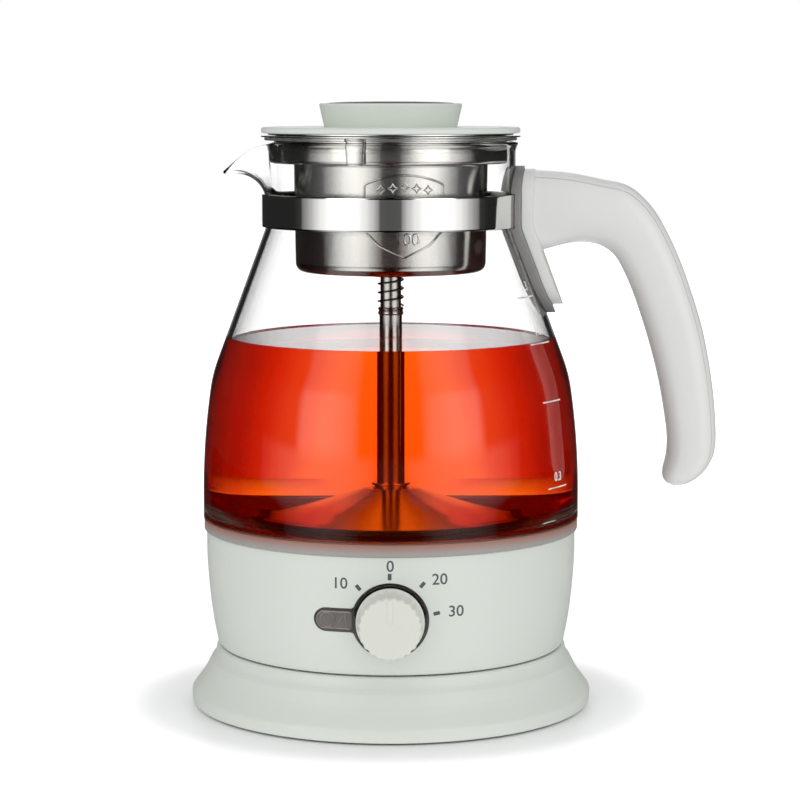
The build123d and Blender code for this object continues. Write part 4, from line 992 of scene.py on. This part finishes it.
# Painted glow: a faint red emission in the tea stands in for light scattered by what the leaves leave in it.
painted_tea_glow = add_node(tree, "ShaderNodeEmission", {"Color": (1.0, 0.03, 0.0, 1.0), "Strength": 0.6})
body = add_node(tree, "ShaderNodeAddShader", {0: absorb.outputs[0], 1: painted_tea_glow.outputs[0]})
fill(tree, tree.nodes["Material Output"], {"Volume": body.outputs[0]})
slope = np.gradient(side_r, side_z)
OVERLAP = 0.15
wet = GLASS_T - OVERLAP + heel(side_z)
wet_r = side_r - wet / np.sqrt(1 + slope**2)
wet_z = side_z + wet * slope / np.sqrt(1 + slope**2)
tea_side = [(float(np.interp(z, wet_z, wet_r)), float(z)) for z in np.linspace(73.5, TEA_Z + 0.35, 44)]
edge = tea_side[-1][0]
creep = [(edge - 0.22 - 1.6 * t, TEA_Z + 0.3 * (1 - t) ** 2) for t in np.linspace(0.0, 1.0, 6)]
creep += [(40.0, TEA_Z), (20.0, TEA_Z), (0.0, TEA_Z)]
tea = lathe("tea", [(0.0, 70.06), (66.1, 70.06), (66.1, 73.3)] + tea_side + creep, tea_mat, 256, False, sharp=60)
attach(tea, "jug")


# ---- Level marks -----------------------------------------------------------
# White enamel printed on the glass to the right of the dial: four lines, and plain
# numbers over the upper and the lowest.

enamel = moulded_plastic("white enamel print", srgb(238, 240, 240), rough=0.45, cloudiness=0.03)
MARK_ANGLE = math.radians(-34.0)


def on_glass(x, z, proud=0.0):
    """A point on the glass: x along its round from the marks' middle, z its height."""
    r = float(jug_r(z)) + proud
    a = MARK_ANGLE + x / r
    return (r * math.cos(a), r * math.sin(a), z)


def to_angle(z, degrees):
    """How far along the round of the glass an angle lies from the marks' middle."""
    return float(jug_r(z)) * (math.radians(degrees) - MARK_ANGLE)


marks = []
for z, first, last in ((159.3, -34.5, -20.9), (142.2, -34.7, -20.1), (121.0, -35.75, -24.3), (88.9, -35.8, -24.2)):
    row = list(np.linspace(to_angle(z, first), to_angle(z, last), 15))
    marks.append(([(x, z - 0.25) for x in row] + [(x, z + 0.25) for x in row[::-1]], [tuple(range(30))]))
for words, z, angle in (("1.3", 163.1, -26.0), ("1.0", 146.6, -27.0), ("0.3", 92.8, -30.0)):
    marks.append(flat_text(words, 3.3, to_angle(z, angle), z))
dress(piece_from("level_marks", *printed(marks, on_glass, 0.05), enamel), "jug", "knob_plastic")


# ---- Clamp band ------------------------------------------------------------
# A polished stainless strap drawn round the neck. Its two ends turn out and run
# side by side into the root of the handle, where a screw and nut pull them together.

polished, tree, shader, coords = new_shader("polished stainless steel")
wave = noise(tree, coords, 30.0)
hairlines = add_node(tree, "ShaderNodeMapping", {"Vector": coords, "Scale": (40.0, 40.0, 2500.0)}).outputs[0]
look = {
    "Metallic": 1.0,
    "Base Color": toned(tree, wave, srgb(230, 229, 227), 0.96, 1.03),
    "Roughness": spread(tree, noise(tree, hairlines, 1.0), 0.06 * 0.7, 0.06 * 1.5),
    "Normal": relief(tree, wave, 0.05, 0.0006),
}
fill(tree, shader, look)
BAND_Z, BAND_H, BAND_R, BAND_T, TANG_Y, TANG_X = 190.8, 12.6, 48.15, 1.2, 5.6, 66.0


def swept(group, line, profile):
    """A section run along a line, both as sockets, with closed ends."""
    inputs = {"Curve": line, "Profile Curve": profile, "Fill Caps": True}
    return add_node(group, "GeometryNodeCurveToMesh", inputs)


strap, given, made = node_group("strap along a path", {"Path": "Object", "Section": "Object", "Finish": "Material"})
line = swept(strap, shape_of(strap, given["Path"]), shape_of(strap, given["Section"]))
deliver(strap, line, given["Finish"], made)
middle_r = BAND_R + BAND_T / 2
bend = 3.0
swing = math.asin((TANG_Y + bend) / (middle_r + bend))
reach = (middle_r + bend) * math.cos(swing)
strap_path = [(TANG_X, TANG_Y, BAND_Z), (reach + 4.0, TANG_Y, BAND_Z)]
for k in range(9):
    a = -math.pi / 2 - (math.pi / 2 - swing) * k / 8
    strap_path.append((reach + bend * math.cos(a), TANG_Y + bend + bend * math.sin(a), BAND_Z))
for k in range(1, 180):
    a = swing + (2 * math.pi - 2 * swing) * k / 180
    strap_path.append((middle_r * math.cos(a), middle_r * math.sin(a), BAND_Z))
strap_path += [(x, -y, z) for x, y, z in strap_path[10::-1]]
route = poly_curve("strap path", strap_path, twist_mode="Z_UP")
profile = [(x, y, 0.0) for x, y in block(BAND_T / 2, BAND_H / 2, 0.3, 4)]
profile = poly_curve("strap section", profile, True, twist_mode="Z_UP")
band = grown("clamp_band", strap, {"Path": route, "Section": profile, "Finish": polished}, 50)
for spent in (route, profile):
    bpy.data.objects.remove(spent)
dress(band, "jug", "bright_steel", "clamp_band")
paint(zinc, "band_screw", "band_nut", "handle_screws")


# ---- Gasket and bracket ----------------------------------------------------
# Two saddles that follow the neck and the slope under it: soft grey silicone
# against the glass, and over it the white bracket that the handle is screwed to.

# Over this height the rim flares and the saddles keep straight on.
NECK_TOP = 213.0


def slab(name, verts, tall, wide, material):
    """A sheet of two grids of points, one behind the other, closed along their edges."""
    grid = np.arange(tall * wide).reshape(tall, wide)
    edge = np.concatenate([grid[0], grid[1:, -1], grid[-1, -2::-1], grid[-2:0:-1, 0]])
    behind = tall * wide
    faces = quads(grid.tolist(), ring=False) + quads((grid + behind).tolist(), ring=False)
    return piece_from(name, verts, faces + quads([edge.tolist(), (edge + behind).tolist()]), material, 40)


def saddle(name, near, far, width, low, high, corner, material, channel=None):
    """A pad on the side of the neck, between two distances from the glass, with rounded corners."""
    eased = corner * (1 - np.cos(np.linspace(0, math.pi / 2, 9)))
    heights = np.unique(np.concatenate([np.linspace(low, high, 58), low + eased, high - eased]))
    if channel:
        foot, top, painted_tea_edge_tint = channel
        heights = np.unique(np.concatenate([heights, [foot, foot + 0.2, top - 0.2, top]]))
    count = 25
    verts = []
    for depth in (far, near):
        for z in heights:
            inset = max(0.0, corner - min(z - low, high - z))
            half = width / 2 - (corner - math.sqrt(max(0.0, corner**2 - inset**2)))
            sunk = channel and depth == near and foot < z < top
            r = float(jug_r(min(z, NECK_TOP))) + (painted_tea_edge_tint if sunk else depth)
            ys = half * np.sin(np.linspace(-math.pi / 2, math.pi / 2, count))
            verts += [(math.sqrt(r * r - y * y), float(y), float(z)) for y in ys]
    return slab(name, verts, len(heights), count, material)


cool_white = moulded_plastic("cool white handle plastic", srgb(229, 230, 227), rough=0.34, grain=0.06)
mid_grey = silicone("mid grey silicone", srgb(140, 139, 136), grain=0.05)
gasket = saddle("handle_gasket", 0.12, 3.4, 33.0, 151.5, 207.6, 15.0, mid_grey, (184.2, 197.4, 1.7))
dress(softened(gasket, 0.7, 3, 50, 45), "jug", "grey_silicone", "handle_gasket")
bracket = saddle("handle_bracket", 3.55, 7.5, 27.0, 155.0, 206.4, 9.0, cool_white)
dress(softened(bracket, 1.0, 4, 50, 45), "jug", "handle_plastic", "handle_bracket")


# ---- Handle ----------------------------------------------------------------
# A hooked grip moulded in cool white plastic, hollow and open at the back, closed
# there by a cover strip whose seam runs along the top and outer edge.

# Matched places along the back and the inner side of the handle, (x, z).
BACK = [
    (50.0, 206.1), (60.0, 205.75), (70.0, 204.7), (80.5, 202.6), (90.3, 200.3), (97.6, 194.7), (104.0, 186.0),
    (110.4, 173.1), (115.8, 158.5), (120.0, 144.5), (122.9, 130.1), (124.7, 116.5), (125.5, 104.0),
    (124.9, 97.5), (123.6, 94.0), (121.5, 90.6), (118.4, 87.6), (114.6, 85.3), (111.0, 84.4),
]
INNER = [
    (50.0, 173.0), (60.0, 176.0), (69.5, 178.3), (76.5, 178.2), (81.8, 176.5), (86.0, 173.2), (89.4, 167.6),
    (93.2, 159.0), (97.2, 147.5), (100.6, 136.2), (103.3, 125.5), (105.3, 115.0), (106.8, 104.5),
    (106.8, 98.0), (106.2, 94.0), (105.4, 90.8), (105.3, 88.0), (106.2, 86.0), (108.5, 84.6),
]
NARROWS = [1.0] * 14 + [0.98, 0.92, 0.80, 0.58, 0.24]
HANDLE_HALF, ROUND, SPINE_T = 12.0, 2.7, 2.6


def line_through(points, share):
    """A smooth line through points, at even parameter steps: share of the way along."""
    pts = np.array(points, float)
    pts = np.vstack([2 * pts[0] - pts[1], pts, 2 * pts[-1] - pts[-2]])
    out = []
    for s in share:
        place = s * (len(points) - 1)
        i = min(int(place), len(points) - 2)
        t = place - i
        a, b, c, d = pts[i : i + 4]
        bow = (2 * a - 5 * b + 4 * c - d) * t * t + (3 * b - 3 * c + d - a) * t**3
        out.append(0.5 * (2 * b + (c - a) * t + bow))
    return np.array(out)


share = np.linspace(0, 1, 150)
backs, inners = line_through(BACK, share), line_through(INNER, share)
narrows = np.interp(share * (len(NARROWS) - 1), range(len(NARROWS)), NARROWS)
stations = [((b + i) / 2, (b - i) / 2, scale) for b, i, scale in zip(backs, inners, narrows)]
# The tip closes just beyond the last pair.
middle, arm, scale = stations[-1]
stations.append((middle + np.array([-0.1, -0.35]), arm * 0.55, scale * 0.6))


def handle_part(name, low, high, shrink, material, count=26):
    """The stretch of the handle's rounded section between two depths from its back."""
    verts = []
    for middle, arm, scale in stations:
        depth = float(np.linalg.norm(arm))
        out = arm / depth
        top = depth - low * scale
        foot = depth - high * scale if high is not None else -depth
        side = []
        for u in foot + (top - foot) * (0.5 - 0.5 * np.cos(np.linspace(0, math.pi, count))):
            bulge = (max(0.0, 1 - abs(u / depth) ** ROUND)) ** (1 / ROUND)
            side.append((u, max(HANDLE_HALF * scale * bulge - shrink, 0.0)))
        for u, v in side + [(u, -v) for u, v in reversed(side)]:
            x, z = middle + out * u
            verts.append((x, v, z))
    size, total = 2 * count, len(verts)
    ends = [tuple(range(size)), tuple(range(total - 1, total - 1 - size, -1))]
    faces = quads(np.arange(total).reshape(-1, size).tolist()) + ends
    return piece_from(name, verts, faces, material, 50)


grip = handle_part("handle_grip", SPINE_T + 0.05, None, 0.0, cool_white)
dress(grip, "jug", "handle_plastic", "handle_grip")
spine = handle_part("handle_spine", 0.0, SPINE_T - 0.05, 0.04, cool_white, 14)
dress(spine, "jug", "handle_plastic", "handle_spine")


# ---- Leaf basket -----------------------------------------------------------
# A drawn and brushed steel cup that hangs by its flange in the neck, with a wide
# collar above its step, a clip folded over the collar and a pressed shield border.


def pierced(piece, radius, low, high, sides, rings, lying=False):
    """Drills rings of holes, each (ring radius, count, first angle, height), through a piece."""
    material = piece.data.materials[0]
    pin = [(0.0, low), (radius, low), (radius, high), (0.0, high)]
    drill = lathe("drill", pin, material, sides, False)
    if lying:
        drill.data.transform(Matrix.Rotation(math.radians(90), 4, "Y"))
    for ring, count, first, height in rings:
        piece = carved(piece, round_the_axis("holes", drill, count, ring, first, height, material))
    bpy.data.objects.remove(drill)
    return piece


CUP_TOP, CUP_LOW, STEP_Z, CUP_Z = 37.1, 36.4, 208.7, 167.1
basket_side = [
    (6.15, CUP_Z), (CUP_LOW, CUP_Z, 3.5), (CUP_TOP, STEP_Z, 0.6), (44.6, STEP_Z, 1.2), (44.6, 214.9, 0.15),
    (44.25, 215.15, 0.15), (44.6, 215.4, 0.15), (44.6, 218.6, 0.2), (49.6, 218.6, 0.2), (49.6, 219.2, 0.2),
    (44.0, 219.2, 0.5), (44.0, STEP_Z + 0.6, 0.6), (CUP_TOP - 0.6, STEP_Z + 0.6, 1.0),
    (CUP_LOW - 0.6, 167.7, 2.9), (6.15, 167.7),
]
basket = lathe("leaf_basket", basket_side, steel, 192)
drain = [(14.0, 16, 0.0, 0.0), (21.0, 25, 0.0, 0.0), (28.0, 33, 0.0, 0.0)]
basket = pierced(basket, 1.0, 166.0, 169.0, 14, drain)
# A slot through the collar beside the clip.
CLIP_TURN = math.radians(-90.0 - 16.6)
slot = [(43.6, -0.6), (45.6, -0.6), (45.6, 0.6), (43.6, 0.6)]
slot = prism("slot", slot, swung(CLIP_TURN + math.radians(4.55)), (209.3, 218.5), steel)
dress(carved(basket, slot), "infuser", "brushed_steel", "infuser_basket")


def on_cup(x, z, proud=0.0):
    """A point on the front of the cup, x along its round from the border's middle."""
    r = CUP_LOW + (CUP_TOP - CUP_LOW) * (z - CUP_Z) / (STEP_Z - CUP_Z) + proud
    a = math.radians(-90.0 + 8.2) + x / r
    return (r * math.cos(a), r * math.sin(a), z)


arch = [(x, 205.0 - 3.4 * (x / 14.8) ** 2) for x in np.linspace(-13.0, 13.0, 9)]
low_left = [(0.0, 174.2, 1.5), (-9.3, 178.7, 8.0), (-14.9, 184.2, 2.5)]
low_right = [(-x, z, bow) for x, z, bow in low_left[:0:-1]]
shield = outline([(-14.9, 201.5, 0.8)] + arch + [(14.9, 201.5, 0.8)] + low_right + low_left, 6, True, 0.9)
fine = []
for (xa, za), (xb, zb) in zip(shield, shield[1:] + shield[:1]):
    parts = max(1, int(math.hypot(xb - xa, zb - za)))
    fine += [on_cup(xa + (xb - xa) * k / parts, za + (zb - za) * k / parts) for k in range(parts)]
border = [bead("border", fine, 0.46, steel)]
for x in (-8.8, -4.4, 0.0, 4.4, 8.8):
    tips = [(math.pi * k / 4, 0.8 if k % 2 else 1.75) for k in range(8)]
    pip = [on_cup(x + far * math.cos(a), 200.7 - abs(x) * 0.13 + far * math.sin(a)) for a, far in tips]
    border.append(bead("pip", pip, 0.3, steel))
number = printed([flat_text("100", 4.6, 0.9, 180.8)], on_cup, 0.42)
border.append(softened(piece_from("number", *number, steel), 0.12, 2))
dress(joined("pressed_border", border, steel), "infuser", "brushed_steel")
# The clip: a tapered tongue folded down over the collar, left of the middle.
CLIP_GRID = 9
verts = []
for proud in (44.95, 44.5):
    for z in np.linspace(208.5, 218.5, CLIP_GRID):
        half = 3.15 + 0.75 * (z - 208.5) / 10.0
        for x in np.linspace(-half, half, CLIP_GRID):
            r, a = proud + 0.28 * (1 - (x / half) ** 2), CLIP_TURN + x / 44.9
            verts.append((r * math.cos(a), r * math.sin(a), z))
clip = slab("basket_clip", verts, CLIP_GRID, CLIP_GRID, steel)
dress(softened(clip, 0.15, 2, 50, 45), "infuser", "brushed_steel")
frosted = silicone("clear silicone", srgb(244, 246, 246), rough=0.12, depth=0.0, grain=0.04, through=0.92)
frosted.node_tree.nodes["Principled BSDF"].inputs["IOR"].default_value = 1.41
soft_ring = [(44.8, 217.35), (48.3, 217.35, 0.35), (48.3, 218.55, 0.35), (44.8, 218.55)]
turned("basket_seal", soft_ring, frosted, "infuser", "clear_silicone")
bush = [(4.06, 165.1), (6.0, 165.1, 0.3), (6.0, 167.72), (9.0, 167.72, 0.2), (9.0, 169.3, 0.4), (4.06, 169.3, 0.3)]
turned("guide_bush", bush, polished, "infuser", "bright_steel", 96)
nut = [(6.02, 165.1), (7.6, 165.1, 0.3), (7.6, 167.1), (6.02, 167.1)]
turned("bush_nut", nut, polished, "infuser", "bright_steel", 96)


# ---- Sieve plate -----------------------------------------------------------
# A dished disc of perforated steel that rests on the basket's step and keeps the
# leaves down under the spray.

sieve_side = [
    (8.0, 205.2), (34.5, 205.2, 1.0), (34.5, 209.6, 0.4), (41.0, 209.6),
    (41.0, 210.2), (33.9, 210.2, 0.8), (33.9, 205.8, 0.5), (8.0, 205.8),
]
holes = [(13.0, 15, 0.0, 0.0), (21.75, 26, 0.0, 0.0), (30.5, 36, 0.0, 0.0)]
sieve = pierced(lathe("sieve_plate", sieve_side, steel), 1.2, 203.0, 208.0, 14, holes)
dress(sieve, "sieve", "brushed_steel", "sieve_plate")


# ---- Riser tube and spring -------------------------------------------------
# The 8 mm steel tube that the boiling water climbs, a stop with two beads rolled
# into it, and the light coil spring that holds tube and cone down.

tube_steel = worked_metal("drawn steel tube", srgb(200, 197, 192), 0.13, brush=900.0, depth=0.0, contrast=0.03)
spun_steel = worked_metal("spun steel", srgb(226, 223, 217), 0.15, brush=1800.0, depth=0.006, contrast=0.03)
wire_steel = worked_metal("dark spring wire", srgb(118, 113, 108), 0.3, brush=600.0, depth=0.0, contrast=0.03)
tube = [(3.3, 83.05, 0.2), (4.0, 83.05, 0.2), (4.0, 209.1, 0.2), (3.3, 209.1, 0.2)]
turned("riser_tube", tube, tube_steel, "riser", "brushed_steel", 64)
stop = [
    (4.02, 141.6), (4.35, 141.6, 0.15), (4.35, 150.4), (4.75, 150.4, 0.2), (4.95, 151.0, 0.4), (4.75, 151.7, 0.3),
    (4.45, 151.95, 0.1), (4.75, 152.2, 0.3), (4.95, 152.8, 0.4), (4.6, 153.4, 0.3), (4.02, 153.4),
]
turned("spring_stop", stop, tube_steel, "riser", "bright_steel", 64)
# A coil: a round wire swept along a spiral, closed at both ends.
sizes = dict.fromkeys(("Turns", "Radius", "Height", "Foot", "Wire"), "Float")
coil, given, made = node_group("coil spring", {**sizes, "Finish": "Material"})
run = {"Resolution": 48, "Rotations": given["Turns"], "Height": given["Height"], "Reverse": True}
run.update({"Start Radius": given["Radius"], "End Radius": given["Radius"]})
spiral = add_node(coil, "GeometryNodeCurveSpiral", run).outputs[0]
wire = add_node(coil, "GeometryNodeCurvePrimitiveCircle", {"Resolution": 14, "Radius": given["Wire"]}).outputs[0]
spot = {"Geometry": swept(coil, spiral, wire).outputs[0], "Translation": vector(coil, Z=given["Foot"])}
deliver(coil, add_node(coil, "GeometryNodeTransform", spot), given["Finish"], made)
sizes = {"Radius": 4.7 * MM, "Height": 10.75 * MM, "Foot": 153.85 * MM, "Wire": 0.38 * MM}
spring = grown("riser_spring", coil, {"Turns": 3.2, **sizes, "Finish": wire_steel}, 60)
dress(spring, "riser", "bright_steel", "riser_spring")
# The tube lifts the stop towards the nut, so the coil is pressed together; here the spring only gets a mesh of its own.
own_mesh(spring)


# ---- Siphon cone -----------------------------------------------------------
# A shallow spun cone at the foot of the tube, on a dark silicone ring with four
# small inlets, and at the top the cap whose jets spray the leaves.

cone = [
    (4.02, 87.1), (4.02, 85.1), (5.5, 85.1), (36.9, 72.75), (36.95, 73.3, 0.2), (30.0, 76.2), (22.0, 79.4),
    (14.0, 82.6), (7.5, 85.3, 3.0), (4.7, 85.75), (4.7, 86.3), (5.5, 86.3, 0.2), (5.5, 87.1, 0.2),
]
turned("siphon_cone", cone, spun_steel, "riser", "brushed_steel")
dark_silicone = silicone("dark silicone", srgb(46, 36, 32), rough=0.42, depth=0.0, grain=0.02)
foot = [(36.4, 70.35), (41.0, 70.35, 0.3), (41.0, 73.3, 0.9), (37.15, 73.3, 0.2), (37.15, 72.7), (36.4, 72.7)]
cone_seal = lathe("cone_seal", foot, dark_silicone)
cone_seal = pierced(cone_seal, 0.9, -6.0, 6.0, 20, [(38.8, 4, -56.0, 71.5)], lying=True)
dress(cone_seal, "riser", "dark_silicone", "cone_seal")
cap = [
    (0.0, 210.9), (3.3, 210.9), (3.3, 209.15), (4.02, 209.15), (4.02, 205.4),
    (7.0, 205.4, 0.6), (7.0, 211.9, 1.6), (0.0, 211.9),
]
spray_cap = lathe("spray_cap", cap, polished, 96, False)
spray_cap = pierced(spray_cap, 0.7, -6.0, 6.0, 16, [(6.5, 8, 0.0, 209.95)], lying=True)
dress(spray_cap, "riser", "bright_steel", "spray_cap")


# ---- Lid -------------------------------------------------------------------
# A sage disc over a steel liner, whose skirt and soft ring plug the basket, and a
# flared round grip with a black, slightly domed cap.

disc_side = [(0.0, 220.05), (49.5, 220.05, 0.9), (49.5, 222.4, 1.1), (0.0, 222.4)]
turned("lid_disc", disc_side, sage, "lid", "sage_plastic", 224, False)
liner = [
    (2.05, 219.5), (42.8, 219.5, 0.3), (42.8, 212.8), (43.3, 212.8),
    (43.3, 219.5, 0.3), (47.0, 219.5), (47.0, 220.0), (2.05, 220.0),
]
turned("lid_liner", liner, steel, "lid", "brushed_steel", 192)
soft_ring = [(43.32, 213.3), (43.7, 213.3, 0.15), (43.7, 215.3, 0.15), (43.32, 215.3)]
turned("lid_seal", soft_ring, frosted, "lid", "clear_silicone")
grip_side = [
    (0.0, 222.4), (25.4, 222.4), (25.5, 222.8), (27.4, 231.35, 0.6),
    (24.6, 231.35, 0.3), (24.6, 230.2), (0.0, 230.2),
]
turned("lid_grip", grip_side, sage, "lid", "sage_plastic", 192, False)
cap_black = moulded_plastic("matt black cap plastic", srgb(24, 24, 25), 0.5, 0.06, cloudiness=0.10, specular=0.18)
dome = [(24.4 * math.cos(a), 231.3 + 0.75 * math.sin(a)) for a in np.linspace(0.12, math.pi / 2, 14)]
cap = [(0.0, 230.22), (24.4, 230.22), (24.4, 231.3)] + dome[:-1] + [(0.0, 232.05)]
turned("grip_cap", cap, cap_black, "lid", "black_gloss", closed=False)
paint(zinc, "lid_screw")
